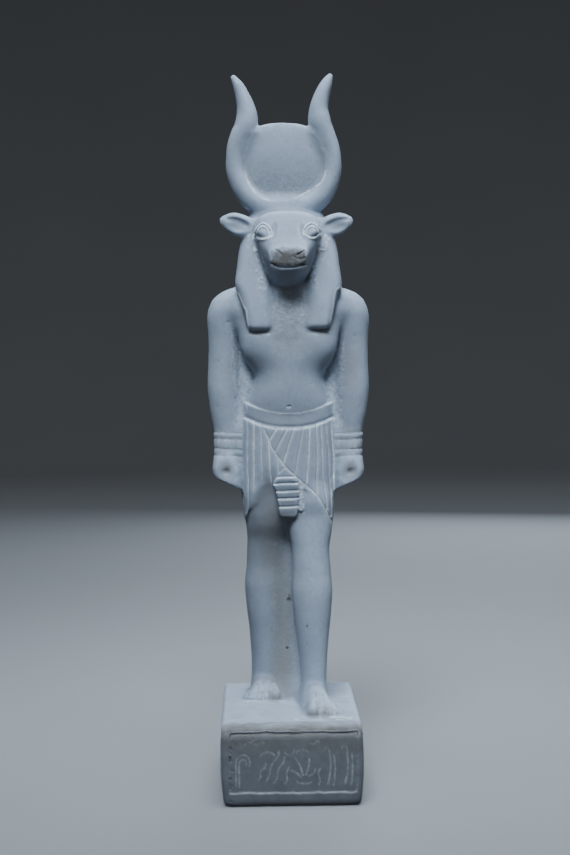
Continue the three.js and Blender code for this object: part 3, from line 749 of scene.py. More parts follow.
def wig():
    """The neck, the wig with its two lappets, which end at slightly different heights, and the chest."""
    loft(NECK, 3.0)
    loft(WIG, 3.0)
    for side, end in ((-1, 219.7), (1, 220.6)):
        loft(((end, *LAPPET[0][1:]), *LAPPET[1:]), 1.0, side=side, edge=3.0)
    loft(CHEST, 4.0, edge=2.0)


def head():
    """The cow's head from the wig to the muzzle, with the two swellings of its eyes."""
    where, x, y, z = window((-30, -20.5, 233), (30, 34, 289))
    top, low, a, lean, n = (column[None, :, None] for column in eased(HEAD, y.ravel()).T)
    half = (top - low) / 2
    v = (z - low) / half - 1
    width = a * (1 + lean * np.clip(v, -1, 1))
    side = ring_distance((x - HEAD_X) / width, v, width, half, n)
    add(where, capped(side, beyond(y, HEAD[-1][0], HEAD[0][0]), 2.4), 1.5)
    for side in (-1, 1):
        add(*ellipsoid((HEAD_X + side * 12.0, 1.2, 268.2), (4.3, 3.4, 3.7)), 1.4)


def ears():
    """Leaf-shaped ears, each dished in front and folded at its upper edge."""
    for side, reach, fold_radii in ((-1, 1.0, (0.5, 0.8, 0.5)), (1, 0.975, (0.3, 0.4, 0.3))):
        rows = sorted((HEAD_X + side * row[0] * reach, *row[1:]) for row in EAR)
        where, x, y, z = window((rows[0][0] - 6, 2, 259), (rows[-1][0] + 6, 26, 287))
        mid_y, mid_z, b, c = (column[:, None, None] for column in eased(rows, x.ravel()).T)
        leaf = ring_distance((y - mid_y) / b, (z - mid_z) / c, b, c, 2.0)
        add(where, capped(leaf, beyond(x, rows[0][0], rows[-1][0]), 0.8), 1.6)
        cut(*ellipsoid((HEAD_X + side * 24.6, 9.9, 272.6), (7.6, 2.5, 3.9)), 0.8)
        slit = [(HEAD_X + side * x, y, z) for x, y, z in EAR_FOLD]
        cut(*chain(slit, fold_radii), 1.6)


def headdress_x(z):
    """The horns and disc lean a little to one side."""
    return HEADDRESS["x"] - HEADDRESS["lean"] * (z - HEADDRESS["z"])


def horns():
    """Round horns, a little deeper than wide."""
    for side, rows in ((-1, LEFT_HORN), (1, HORN)):
        x, z, radius = eased(rows, np.linspace(0, rows[-1][0], 45)).T
        points = np.stack([headdress_x(z) + side * x, np.full_like(z, HEADDRESS["y"]), z], 1)
        add(*chain(points, radius, depth=1.12), 1.2)


def disc():
    """The sun disc: a plate that bulges a little, squared off above."""
    where, x, y, z = window((-32, 8, 277), (27, 32, 333))
    u = (x - headdress_x(z)) / DISC_HALF
    v = (z - HEADDRESS["z"]) / DISC_TALL
    edge = ring_distance(u, v, DISC_HALF, DISC_TALL, np.where(v > 0, 2.7, 2.0))
    bulge = 2.4 * np.clip(u * u + v * v, 0, 1.2)
    flat = np.abs(y - HEADDRESS["y"]) - 5.2 + bulge
    # The fillet to the horns is wider at the bottom and along the upper half.
    middle = unit((0.5 - np.abs(u)) / 0.3) * unit((-v - 0.5) / 0.4)
    beside = unit(v / 0.3) * unit((0.95 - v) / 0.2)
    add(where, capped(edge, flat, 1.2), 2.3 + 3.5 * middle + 3.0 * beside)
    block((-16, 15.5, 277), (12, 24.5, 286), 3.0, edge=2.0)


for form in (base, backing, body, hands, legs, feet, kilt, tab, belt, wig, head, ears, horns, disc):
    form()


# The carving of places near the surface, also in millimetres of the measured view.


class Skin:
    """Places on or near the surface, how it faces there, and what the carving does to each."""

    def __init__(self, place, facing):
        self.x, self.y, self.z = place
        self.facing_y, self.facing_z = facing[1:]
        self.cut = np.zeros_like(self.x)
        self.tints = {name: np.zeros_like(self.x) for name in ("chalk", "rough", "grime", "dull", "ochre")}

    def part(self, low, high, front=None, up=None):
        """The places in a box that face front and up by more than given: their numbers and coordinates."""
        inside = (self.x > low[0]) & (self.x < high[0]) & (self.y > low[1]) & (self.y < high[1])
        inside &= (self.z > low[2]) & (self.z < high[2])
        if front is not None:
            inside &= self.facing_y < -front
        if up is not None:
            inside &= self.facing_z > up
        here = np.nonzero(inside)[0]
        return here, self.x[here], self.y[here], self.z[here]

    def tint(self, here, share, **amounts):
        """Lifts the named tints at some places to at least an amount of the share."""
        for name, amount in amounts.items():
            values = self.tints[name]
            values[here] = np.maximum(values[here], amount * share)

    def groove(self, here, distance, width, depth, chalk=0.0):
        """A round-bottomed groove, or a ridge where the depth is negative."""
        profile = unit(1 - (distance / width) ** 2) ** 1.5
        deeper = np.abs(depth * profile) > np.abs(self.cut[here])
        self.cut[here] = np.where(deeper, depth * profile, self.cut[here])
        self.tint(here, profile, chalk=chalk)

    def line(self, here, points, width, depth, chalk=0.0, sway=0.0):
        """A groove or ridge along a line through some points."""
        self.groove(here, line_distance(self.x[here] + sway, self.z[here], points), width, depth, chalk)


def line_distance(x, z, points):
    """The distance of each place to a line through some points, as seen from the front."""
    best = np.full(x.shape, 99.0, np.float32)
    for (x0, z0), (x1, z1) in zip(points, points[1:]):
        dx, dz = x1 - x0, z1 - z0
        along = unit(((x - x0) * dx + (z - z0) * dz) / (dx * dx + dz * dz))
        best = np.minimum(best, (x - x0 - along * dx) ** 2 + (z - z0 - along * dz) ** 2)
    return np.sqrt(best)


def noise(x, y, z, size, seed):
    """Smooth random values from -1 to 1, with bumps about `size` across."""
    count = 32
    table = np.random.default_rng(seed).uniform(-1, 1, (count,) * 3).astype(np.float32)
    parts = []
    for place in (x, y, z):
        scaled = place / size + 512
        cell = np.floor(scaled).astype(np.int32)
        t = scaled - cell
        parts.append((cell % count, (cell + 1) % count, t * t * (3 - 2 * t)))
    (x0, x1, tx), (y0, y1, ty), (z0, z1, tz) = parts
    levels = []
    for level in (z0, z1):
        near = table[x0, y0, level] * (1 - tx) + table[x1, y0, level] * tx
        far = table[x0, y1, level] * (1 - tx) + table[x1, y1, level] * tx
        levels.append(near * (1 - ty) + far * ty)
    return levels[0] * (1 - tz) + levels[1] * tz


def carve_belt(skin):
    """Ridges with painted highlights along the belt's edges, and a groove and painted shade above the kilt.
    """
    here, x, y, z = skin.part((-22.4, 2, 166), (23.4, 38, 190))
    level = z + dip(y)
    wobble = 0.12 * noise(x, y, z, 3.0, 11)
    # Painted highlights along the ridges of both edges, where the ledges catch the light.
    for at, chalk in ((BELT_HIGH - 0.25, 0.75), (BELT_LOW - 0.15, 0.7)):
        skin.groove(here, np.abs(level - at + wobble), 0.34, -0.15, chalk)
    skin.groove(here, np.abs(level - (BELT_LOW + 0.7) + wobble), 0.5, 0.3)
    # Painted shade over the belt's lower part, where it turns in towards the kilt.
    skin.tint(here, ramp(180.5 - level, 0, 3) * ramp(level, BELT_LOW, BELT_LOW + 0.6), dull=0.5)


def carve_kilt(skin):
    """Folds that fan out above the wrapped edge, straight pleats beside it, and plain ones behind."""
    here, x, _, z = skin.part((-26, -2, 121), (27, 30, 178), front=0.25)
    wobble = 0.24 * noise(x, x, z, 5.0, 12) + 0.14 * noise(x, x, z, 1.4, 36)
    # The folds fade out where the cloth and the rear thigh run together.
    kept = 1 - ramp(1.25 - np.hypot((x + 12) / 8.0, (z - 133) / 12.5), 0, 0.5)
    skin.line(here, KILT_WRAP, 0.62, 0.55, 1.0, sway=wobble)
    for i, points in enumerate(KILT_FOLDS):
        width, chalk = (0.55, 0.7, 0.6)[i % 3], (1.0, 0.7, 0.85, 0.6)[i % 4]
        skin.line(here, points, width, 0.45 * kept, chalk * kept, sway=wobble)
    skin.line(here, TAB_PEAK, 0.5, 0.35, 0.7)
    # Plain pleats at the sides and behind.
    here, x, y, _ = skin.part((-26, 6, 121), (26, 40, 176.5))
    plain = (skin.facing_y[here] >= -0.25) & ((np.abs(x) > 18) | (y < 26))
    turn = np.arctan2(y - 20, x)[plain] * 26
    skin.groove(here[plain], np.abs(np.mod(turn, 3.4) - 1.7) * 0.8, 0.7, 0.45, 0.5)


def carve_tab(skin):
    """The ribs of the tab, each a ledge that slopes back to the next, and the shade beside and under it."""
    here, x, _, z = skin.part((-24, -3, 122), (9, 16, 160), front=0.1)
    level = z - 0.04 * x
    off = beyond(x, *eased(TAB, z).T)
    for low, high in zip(TAB_LEDGES, TAB_LEDGES[1:]):
        share = unit((level - low) / (high - low))
        inside = (level > low) & (level <= high) & (off < 0.3)
        skin.cut[here] -= np.where(inside, 0.55 * share**1.4 * ramp(1.05 - share, 0, 0.1), 0)
        skin.groove(here, np.abs(level - high - 0.5) + 9 * (off > 0.2), 0.5, 0.45)
        # A painted highlight along the top of each rib.
        skin.tint(here, inside & (share > 0.82), chalk=0.8)
    strip = ramp(1.9 - np.abs(x - 6.3), 0, 0.8) * ramp(z, 128.5, 130) * ramp(144 - z, 0, 3)
    flakes = noise(x, z, z, 0.8, 38)
    skin.cut[here] += strip * 0.14 * flakes
    skin.tint(here, strip * ramp(flakes, -0.4, 0.5), chalk=1)
    # Painted shade, brownish, in the hollow beside the tab and under its lower end.
    beside = ramp(1.2 - np.hypot((x + 11) / 7.0, (z - 138 - 0.6 * (x + 11)) / 9.5), 0, 0.9) * (off > 0.1)
    under = ramp(131.5 - z, 0, 3) * (off < 0.6) * (z > 126)
    skin.tint(here, beside, dull=0.5, ochre=0.3)
    skin.tint(here, under, dull=0.75, ochre=0.5)


def carve_fists(skin):
    """The line of each thumb, and painted shade round the hollow of the grip."""
    for side in (-1, 1):
        low, high = sorted((side * 22, side * 40))
        here, x, _, z = skin.part((low, 4, 137), (high, 30, 158), front=0.1)
        skin.groove(here, line_distance(x * side, z, THUMB), 0.8, 0.2, 0.15)
        # Painted shade, brownish, round the grip's hollow.
        off = np.hypot(x * side - 30.8, z - 150.6) / 3.6
        skin.tint(here, np.exp(-off * off), ochre=0.6, dull=0.7)


def carve_bracelets(skin):
    """Two rings and the band between them."""
    for side in (-1, 1):
        low, high = sorted((side * 23, side * 41))
        here, x, y, z = skin.part((low, 8, 155), (high, 30, 171))
        level = z - 0.05 * (x * side - 31)
        level = level + 0.25 * noise(x * side, y, z, 3.0, 13 + side)
        for ring in (167.6, 159.2):
            skin.groove(here, np.abs(level - ring), 1.5, -0.3)
        for edge in (169.1, 165.8, 161.0, 157.6):
            skin.groove(here, np.abs(level - edge), 0.45, 0.3, 0.2)
            skin.tint(here, ramp(0.4 - np.abs(level - edge - 0.5), 0, 0.3), chalk=0.5)
        inside = (level > 161.4) & (level < 165.8)
        band = here[inside]
        around = np.arctan2(y - 19, x - side * 31.3)[inside] * 6.4
        skin.groove(band, np.abs(np.mod(around, 1.8) - 0.9), 0.4, 0.2, 0.4)
        skin.cut[band] -= 0.15


def carve_eyes(skin):
    """Raised lids round each eyeball, the groove between them and one brow line, with painted shade in
    their creases.
    """
    here, x, _, z = skin.part((-20, -18, 262), (20, 14, 276), front=0.15)
    for name, count, width, depth, chalk in LIDS:
        for eye in EYES:
            skin.line(here, smooth_path(eye[name], count), width, depth, chalk)
    skin.line(here, smooth_path(BROW, 9), 0.5, 0.2, 0.2)
    for eye in EYES:
        upper = smooth_path(eye["upper"], 17)
        middle = upper[len(upper) // 2][0]
        between = [(px + 0.12 * (middle - px), pz - 0.85) for px, pz in upper]
        off = line_distance(x, z, between)
        skin.groove(here, off, 0.5, 0.4)
        # Painted shade along the groove between the lids.
        skin.tint(here, ramp(0.8 - off, 0, 0.4), dull=0.5)
    for eye in EYES:
        x0, z0 = eye["ball"]
        off = np.hypot((x - x0) / 2.3, (z - z0) / 2.0)
        skin.groove(here, off, 1.0, -0.5)
        skin.groove(here, np.abs(off - 1.15) * 2.2, 0.6, 0.3)
        # Painted shade in the crease round the eyeball.
        skin.tint(here, ramp(0.5 - np.abs(off - 1.2), 0, 0.3), dull=0.45)
    here, x, _, z = skin.part((-12, -18, 260), (11, 8, 276), front=0.05)
    for x0, width, depth in ((-7.5, 2.3, 1.0), (6.6, 2.0, 0.7)):
        off = np.hypot((x - x0 - 0.12 * (268 - z) * np.sign(x0)) / width, (z - 268.0) / 5.6)
        skin.groove(here, off, 1.0, depth)
        # A painted shadow in the hollow beside each eye's inner corner.
        skin.tint(here, depth * ramp(1.1 - off, 0, 0.9), dull=0.35)


def carve_muzzle(skin):
    """The mouth and nostrils with painted shade in the nostrils, and the stained tip of the nose."""
    here = skin.part((-12, -20, 243), (11, 0, 262), front=0.0)[0]
    mouth = smooth_path(MOUTH, 16)
    skin.line(here, mouth, 0.5, 0.5)
    skin.line(here, [(px, pz - 0.9) for px, pz in mouth], 0.5, -0.35, 1.0)
    for points in NOSTRILS:
        skin.line(here, smooth_path(points, 7), 0.75, 0.8)
    skin.line(here, smooth_path(NOSE_CURL, 10), 0.45, 0.4)
    skin.line(here, CHEEK_CREASE, 0.45, 0.3, 0.5)
    here, x, _, z = skin.part((-12, -20, 248), (11, -2, 262), front=0.2)
    ragged = 1.0 * noise(x, z, z, 1.8, 26) + 0.5 * noise(x, z, z, 0.7, 27)
    spot = ramp(8.8 - np.abs(x + 0.1) + ragged, 0, 1.6) * ramp(z + ragged, 249.6, 250.8)
    spot = spot * ramp(259.6 - z + ragged, 0, 2.6) * (0.8 + 0.2 * noise(x, z / 2.5, z, 1.0, 28))
    skin.tint(here, spot, grime=1.4, rough=0.5)
    # Painted shade in the nostrils.
    for x0, z0 in ((-5.2, 256.6), (5.3, 256.2)):
        skin.tint(here, ramp(1 - np.hypot((x - x0) / 2.4, (z - z0) / 1.7), 0, 0.5), dull=0.9)


def carve_wig(skin):
    """The fine raised edge along each lappet's outside, the line under its end and the chips by the jaw."""
    here, x, y, z = skin.part((-24, -8, 240), (23, 20, 268), front=0.1)
    edge_x = np.interp(z, (240, 250, 262, 268), (9.5, 11.5, 15.5, 18))
    beside = ramp(4.4 - np.abs(np.abs(x - HEAD_X) - edge_x - 1.6), 0, 3.0)
    chips = ramp(noise(x, y, z, 1.0, 32) + 0.4 * noise(x, y, z, 2.4, 33), 0.35, 0.7) * beside
    skin.cut[here] -= 0.35 * chips
    skin.tint(here, chips, chalk=0.8)
    skin.tint(here, beside, rough=0.6)
    here = skin.part((-30, -4, 212), (30, 30, 243), front=0.0)[0]
    for points in LAPPET_EDGES:
        skin.line(here, points, 0.6, -0.35, 0.6)
    for points in LAPPET_ENDS:
        skin.line(here, points, 0.55, 0.3, 0.9)


def carve_body(skin):
    """The rough chest between the lappets, painted shade on the arms, the navel and two deep pits."""
    here, x, y, z = skin.part((-12, -2, 202), (13, 24, 246), front=0.2)
    share = ramp(10.4 - np.abs(x - 0.6), 0, 3) * ramp(z, 203, 214) * ramp(246 - z, 0, 8)
    skin.tint(here, share * (0.16 + 0.12 * noise(x, y, z, 1.4, 37)), chalk=1)
    skin.tint(here, share * (0.3 + 0.7 * ramp(z, 218, 230)), rough=1)
    # Painted shade, brownish, on the inner side of each upper arm.
    for x0, z0, wide in ((-28.6, 201, 4.0), (31.0, 202, 4.4)):
        here, x, _, z = skin.part((x0 - 9, 4, z0 - 26), (x0 + 9, 24, z0 + 26), front=0.1)
        off = np.hypot((x - x0) / wide, (z - z0) / 13)
        skin.tint(here, np.exp(-off * off), ochre=0.35, dull=0.3)
    here, x, _, z = skin.part((-4, 0, 178), (4, 20, 192), front=0.3)
    skin.groove(here, np.sqrt(((x - 0.1) / 1.3) ** 2 + ((z - 182.2) / 0.9) ** 2), 1.0, 0.9, 1.0)
    skin.line(here, ((0.1, 184), (0.0, 189.5)), 0.9, 0.18, 0.1)
    here, x, _, z = skin.part((-4, -4, 60), (4, 24, 90), front=0.2)
    for x0, z0, width in ((0.3, 84.8, 1.2), (-0.6, 60.8, 0.6)):
        off = np.hypot(x - x0, z - z0)
        skin.groove(here, off, width, 1.1)
        skin.tint(here, ramp(width + 0.5 - off, 0, 0.6), grime=1)


def carve_disc(skin):
    """The fine ridge between the disc and the horns."""
    here, x, _, z = skin.part((-27, 8, 282), (22, 20, 324), front=0.3)
    off = np.abs(line_distance(x, z, smooth_path(DISC_RIM, 60)) + 0.35 * noise(x, x, z, 2.5, 14))
    crisp = ramp(303 - z, 0, 8) * ramp(np.abs(x + 2.5), 4, 10)
    skin.groove(here, off, 0.5, -0.22 * (0.3 + 0.7 * crisp))
    skin.tint(here, (0.15 + 0.75 * crisp) * unit(1 - (off / 0.5) ** 2), chalk=1)


def carve_panel(skin):
    """The sunk panel in the base's front and its rows of shallow strokes, and painted shade over the front.
    """
    here, x, _, z = skin.part((-36, -49, -3), (36, -40, BASE_TOP), front=0.5)
    x, z = x - BASE_X, upright(x, z)[1]
    wobble = 0.35 * noise(x, z, z, 2.4, 15) + 0.15 * noise(x, z, z, 0.9, 16)
    left, right, low, high = PANEL
    under, over = z - low, high - z
    inside = np.minimum(np.minimum(x - left, right - x), np.minimum(under, over)) + wobble
    skin.cut[here] = np.maximum(skin.cut[here], 0.55 * ramp(inside, -0.3, 0.4))
    width = 0.45 + 0.25 * (over < 2) + 0.15 * noise(x, z, z, 3.5, 17)
    skin.groove(here, np.abs(inside - 0.3), width, 0.6 + 0.5 * (over < 2))
    # A painted highlight along the panel's lower edge, fainter up its sides.
    line = ramp(0.5 - np.abs(inside + 0.15), 0, 0.4) * (0.25 + 0.75 * (under < 2)) * (over > 2)
    skin.tint(here, line, chalk=0.6)
    broken = ramp(noise(x, z, z, 1.1, 34), -0.5, 0.2)
    for points in panel_strokes():
        skin.groove(here, line_distance(x + 0.5 * wobble, z, points), 0.55, 0.7)
        bright = line_distance(x + 0.5 * wobble + 0.2, z - 0.25, points)
        skin.tint(here, (0.4 + 0.5 * broken) * unit(1 - (bright / 0.5) ** 2), chalk=1)
    pits = noise(x, x + z, z, 1.2, 18) * ramp(1.5 - np.abs(x + 28.2), 0, 0.8)
    skin.cut[here] += 0.5 * ramp(pits, 0.35, 0.6)
    stain = ramp(-8 - x, 0, 14) * ramp(z, 20, 31) * ramp(36 - z, 0, 3)
    # Painted shade over the whole front below its top edge.
    skin.tint(here, ramp(36.5 - z, 0, 2.5) * (0.92 + 0.08 * noise(x, z, z, 6.0, 19)), dull=1)
    skin.tint(here, stain, grime=0.7)
    # More painted shade, brownish, over the whole front.
    skin.tint(here, ramp(35.5 - z, 0, 4), grime=0.55)
    skin.tint(here, ramp(z, 18, 32) * ramp(36 - z, 0, 3), ochre=0.5)


def arc(middle, half, start, end, count=9):
    """Points on part of an ellipse, with its angles in degrees anticlockwise from +X."""
    turn = np.radians(np.linspace(start, end, count))
    return list(zip(middle[0] + half[0] * np.cos(turn), middle[1] + half[1] * np.sin(turn)))


def ripple(start, end, swing, waves, count=15):
    """Points on a wavy line."""
    share = np.linspace(0, 1, count)
    (x0, z0), (x1, z1) = start, end
    length = math.hypot(x1 - x0, z1 - z0)
    off = swing * np.sin(2 * np.pi * waves * share)
    x = x0 + (x1 - x0) * share + off * (z1 - z0) / length
    z = z0 + (z1 - z0) * share - off * (x1 - x0) / length
    return list(zip(x, z))


def panel_strokes():
    """Nested crooks, ripples, a fan, arcs and bowed pairs, as lines through points."""
    strokes = []
    for half, foot_z, tip in ((3.2, 10.0, -28), (1.7, 9.2, -16)):
        crook = arc((-22.6, 20.6 - 0.4 * (3.2 - half)), (half, 1.1 * half), 180, tip)
        strokes.append([(-22.6 - half, foot_z)] + crook)
    for i, (x, reach) in enumerate(((-15.6, 5.4), (-12.2, 9.6), (-8.4, 7.6))):
        strokes.append(ripple((x, 12.6 - 0.8 * i), (x + 0.62 * reach, 12.6 + 1.35 * reach), 0.5, 1.5))
    for turn, reach in ((146, 7.8), (114, 11.4), (80, 9.8), (46, 7.0)):
        across, rise = math.cos(math.radians(turn)), math.sin(math.radians(turn))
        root = (5.8 + 2.4 * across, 12.2 + 2.4 * rise)
        strokes.append(ripple(root, (5.8 + reach * across, 12.2 + reach * rise), 0.5, 0.5))
    for x, high in ((16.2, 25.4), (24.2, 26.2)):
        strokes.append(ripple((x, 10.2), (x + 0.6, high), 0.9, 0.5))
        strokes.append(ripple((x + 2.6, 9.4), (x + 2.8, high - 2.2), 0.7, 0.5))
        strokes.append(arc((x - 0.6, high + 0.6), (1.2, 0.9), -20, 200, 6))
    for middle, half, start, end in PANEL_ARCS:
        strokes.append(arc(middle, half, start, end))
    for start, end in PANEL_RIPPLES:
        strokes.append(ripple(start, end, 0.5, 1.0))
    return strokes


def tool_marks(skin):
    """A hand-worked unevenness, tool marks in the hollows and on the base's top, painted shade on that top,
    and pinholes.
    """
    x, y, z = skin.x, skin.y, skin.z
    skin.cut += 0.10 * noise(x, y, z, 9.0, 21) + 0.05 * noise(x, y, z, 3.2, 22)
    skin.tint(skin.part((-9, 12, 38), (4, 30, 124))[0], 1, rough=0.5)
    for side in (-1, 1):
        low, high = sorted((side * 15.5, side * 28.5))
        skin.tint(skin.part((low, 13.6, 147), (high, 28, 226))[0], 1, rough=0.9)
        skin.tint(skin.part((low, 12.6, 136), (high, 26, 158))[0], 1, rough=0.6)
    here, px, _, pz = skin.part((-22, 10, 284), (18, 19, 306), front=0.7)
    off = np.hypot((px + 2.7) / 19, (pz - 304.6) / 18)
    patch = ramp(304 + 3 * noise(px, pz, pz, 4.0, 29) - pz, 0, 9) * (off < 1.02)
    skin.tint(here, patch, rough=0.4, grime=0.12)
    rough = skin.tints["rough"]
    here = np.nonzero(rough > 0.05)[0]
    skin.cut[here] += rough[here] * 0.13 * noise(x[here], y[here], z[here], 1.1, 23)
    here, px, py, pz = skin.part((-34, -47, 34), (35, 47, 41), up=0.6)
    skin.cut[here] += 0.1 * noise(px / 3.5, py, pz, 1.3, 24) * ramp(py, -40, -34)
    # Patchy painted shade over the base's top.
    skin.tint(here, 0.7 + 0.3 * ramp(noise(px, py, pz, 6.0, 39), -0.6, 0.6), dull=1)
    skin.cut += 0.6 * ramp(noise(x, y, z, 2.2, 25), 0.9, 0.99)


def shades(skin):
    """Painted shade: in the armpits, on the upward faces of the insteps, brow and nose's bridge, and on
    undersides.
    """
    for side in (-1, 1):
        low, high = sorted((side * 20, side * 30))
        here, x, _, z = skin.part((low, 6, 206), (high, 28, 236))
        off = np.hypot((x - side * 24.6) / 3.4, (z - 219) / 14)
        skin.tint(here, ramp(1.15 - off, 0, 0.8), dull=0.35)
    here, _, _, z = skin.part((-25, -28, 38.4), (28, 34, 54), up=0.35)
    skin.tint(here, ramp(skin.facing_z[here], 0.35, 0.8) * ramp(z, 39, 41), dull=0.85)
    here = skin.part((-20, -20, 250), (19, 14, 285))[0]
    skin.tint(here, ramp(skin.facing_z[here], 0.1, 0.6), dull=0.6)
    for low, high in UNDERSIDES:
        here = skin.part(low, high)[0]
        skin.tint(here, ramp(-skin.facing_z[here], 0.25, 0.75), dull=0.4)


def stains(skin):
    """Ochre dirt on the base's bevel and at the toes' tips, and painted shade with a brown stain between
    the legs.
    """
    here, x, y, z = skin.part((-36, -47.5, 32.8), (36, -36, 39.4))
    worn = ramp(-skin.facing_y[here], 0.06, 0.3) * ramp(0.98 + skin.facing_y[here], 0, 0.25)
    skin.tint(here, worn * (0.8 + 0.2 * noise(x, y, z, 3.0, 31)), ochre=1.2, grime=1.1)
    # Painted shade with a brownish stain over the stone between the legs and the inner side of the rear
    # thigh.
    here, x, _, z = skin.part((-22, 4, 38), (9, 30, 148), front=0.2)
    middle = np.interp(z, (60, 92, 112), (-3.0, -4.0, -6.0))
    wide = 5.8 + 3.8 * ramp(z, 82, 108) * (x < middle)
    shade = np.exp(-(((x - middle) / wide) ** 2)) * (x < 1 + (140 - z) / 8)
    shade = shade * (0.85 + 0.15 * noise(x, x, z / 4, 3.0, 30)) * ramp(144 - z, 0, 18)
    skin.tint(here, shade, ochre=0.8, dull=0.4)
    skin.tint(here, shade * (0.05 + 0.3 * ramp(z, 84, 122)), grime=1)
    for x0, y0, size in ((11.0, -26, 4.6), (16.6, -25, 3.4), (-7.1, 7, 4.4)):
        here, x, _, z = skin.part((x0 - size, y0 - 7, 35.8), (x0 + size, y0 + 5, 42.8))
        off = np.hypot((x - x0) / size, (z - 38.8) / 3.6)
        skin.tint(here, ramp(1 - off, 0, 0.6), ochre=0.75)


def toe_dust(skin):
    """Chips and dust on the base before the toes, and bright lines between them."""
    for x0, x1, y0, y1 in ((-23, 2, -1, 6), (2, 29, -36, -28)):
        here, x, y, z = skin.part((x0, y0, 35), (x1, y1, 39.6), up=0.5)
        share = unit(1.2 - np.abs(y - (y0 + y1) / 2) / (y1 - y0) * 2.4)
        dust = ramp(noise(x / 2.2, y, z, 0.9, 35), 0.0, 0.5) * share
        skin.tint(here, dust, chalk=1)
        skin.cut[here] -= 0.2 * dust
    for starts, ends, y0, y1, top in TOE_LINES:
        here, x, y, _ = skin.part((-26, y1 - 4, 36), (28, y0, top), up=-0.2)
        share = (y - y0) / (y1 - y0)
        for x0, x1 in zip(starts, ends):
            off = np.abs(x - x0 - (x1 - x0) * share)
            skin.groove(here, off, 0.5, 0.4, 0.7 * ramp(share, 0, 0.3))


def carve(skin):
    """All the carving, in order."""
    for step in (carve_belt, carve_kilt, carve_tab, carve_fists, carve_bracelets, carve_eyes, carve_muzzle):
        step(skin)
    for step in (carve_wig, carve_body, carve_disc, carve_panel, tool_marks, shades, stains, toe_dust):
        step(skin)


def slope_at(cells):
    """The field's slope at some cells of the grid, all inside its outermost layer."""
    i, j, k = cells
    return [
        (field[i + 1, j, k] - field[i - 1, j, k]) / (2 * STEP),
        (field[i, j + 1, k] - field[i, j - 1, k]) / (2 * STEP),
        (field[i, j, k + 1] - field[i, j, k - 1]) / (2 * STEP),
    ]


def carve_grid():
    """Carves the band of cells near the surface, and makes the underside flat on the ground."""
    cells = tuple(index + 1 for index in np.nonzero(np.abs(field[1:-1, 1:-1, 1:-1]) < BAND))
    slope = slope_at(cells)
    steepness = np.sqrt(sum(s * s for s in slope)) + 1e-3
    distance = field[cells] / np.clip(steepness, 0.6, 3.0)
    skin = Skin([axis[index] for axis, index in zip(axes, cells)], [s / steepness for s in slope])
    carve(skin)
    field[cells] = distance + skin.cut * unit((BAND / 2 - np.abs(distance)) / 0.8)
    where, x, _, z = window(GRID_LOW, (GRID_HIGH[0], GRID_HIGH[1], 6))
    field[where] = np.maximum(field[where], -upright(x, z)[1])


carve_grid()


def soft_copy(cells_wide):
    """The field averaged over a small box: above zero on edges and below it in hollows."""
    soft = np.clip(field, -BAND, BAND)
    for axis in range(3):
        total = np.cumsum(soft, axis=axis, dtype=np.float32)
        count = soft.shape[axis]
        high = np.minimum(np.arange(count) + cells_wide, count - 1)
        low = np.maximum(np.arange(count) - cells_wide, 0)
        shape = [1, 1, 1]
        shape[axis] = count
        span = (high - low).astype(np.float32).reshape(shape)
        soft = (np.take(total, high, axis) - np.take(total, low, axis)) / span
    return soft


def surface():
    """The grid's surface as points in millimetres and four-sided faces, its largest part alone."""
    grid = openvdb.FloatGrid(BAND)
    grid.copyFromArray(np.clip(field, -BAND, BAND))
    points, _, quads = grid.convertToPolygons(isovalue=0.0, adaptivity=0.0)
    label = np.arange(len(points))
    edges = np.concatenate([quads[:, [0, 1]], quads[:, [1, 2]], quads[:, [2, 3]]])
    while True:
        low = np.minimum(label[edges[:, 0]], label[edges[:, 1]])
        fresh = label.copy()
        np.minimum.at(fresh, edges[:, 0], low)
        np.minimum.at(fresh, edges[:, 1], low)
        fresh = fresh[fresh]
        if np.array_equal(fresh, label):
            break
        label = fresh
    names, sizes = np.unique(label, return_counts=True)
    kept = label == names[sizes.argmax()]
    quads = quads[kept[quads[:, 0]]]
    number = np.cumsum(kept) - 1
    return points[kept] * STEP + np.array(GRID_LOW, np.float32), number[quads]


def sampled(values, place):
    """Values of the grid at any places, mixed from the eight cells around."""
    scaled = [(p - axis[0]) / STEP for p, axis in zip(place, axes)]
    cell = [np.clip(s.astype(int), 0, len(axis) - 2) for s, axis in zip(scaled, axes)]
    t = [s - c for s, c in zip(scaled, cell)]
    result = np.zeros_like(t[0])
    for corner in range(8):
        pick = [(corner >> n) & 1 for n in range(3)]
        weight = np.prod([t[n] if pick[n] else 1 - t[n] for n in range(3)], axis=0)
        result += weight * values[tuple(cell[n] + pick[n] for n in range(3))]
    return result


def new_object(name, data):
    """A new object in the scene."""
    made = bpy.data.objects.new(name, data)
    bpy.context.scene.collection.objects.link(made)
    return made


def statue_mesh():
    """The carved surface with fewer faces where it is plain."""
    points, quads = surface()
    data = bpy.data.meshes.new("statue_carving")
    data.from_pydata((points * MM).tolist(), [], quads.tolist())
    data.validate()
    piece = new_object("statue_carving", data)
    plain = np.ones(len(points), bool)
    for low, high in FINE_PARTS:
        plain &= ((points < low) | (points > high)).any(axis=1)
    piece.vertex_groups.new(name="plain").add(np.nonzero(plain)[0].tolist(), 1.0, "REPLACE")
    modifier = piece.modifiers.new("fewer", "DECIMATE")
    modifier.ratio = min(1.0, TRIANGLES / (2 * len(quads)))
    modifier.vertex_group = "plain"
    evaluated = piece.evaluated_get(bpy.context.evaluated_depsgraph_get())
    made = bpy.data.meshes.new_from_object(evaluated)
    piece.modifiers.clear()
    piece.data = made
    made.name = "statue_carving"
    return piece


def points_of(data):
    """The mesh's points in millimetres, as one row each for x, y and z."""
    place = np.empty(len(data.vertices) * 3, np.float32)
    data.vertices.foreach_get("co", place)
    return place.reshape(-1, 3).T / MM


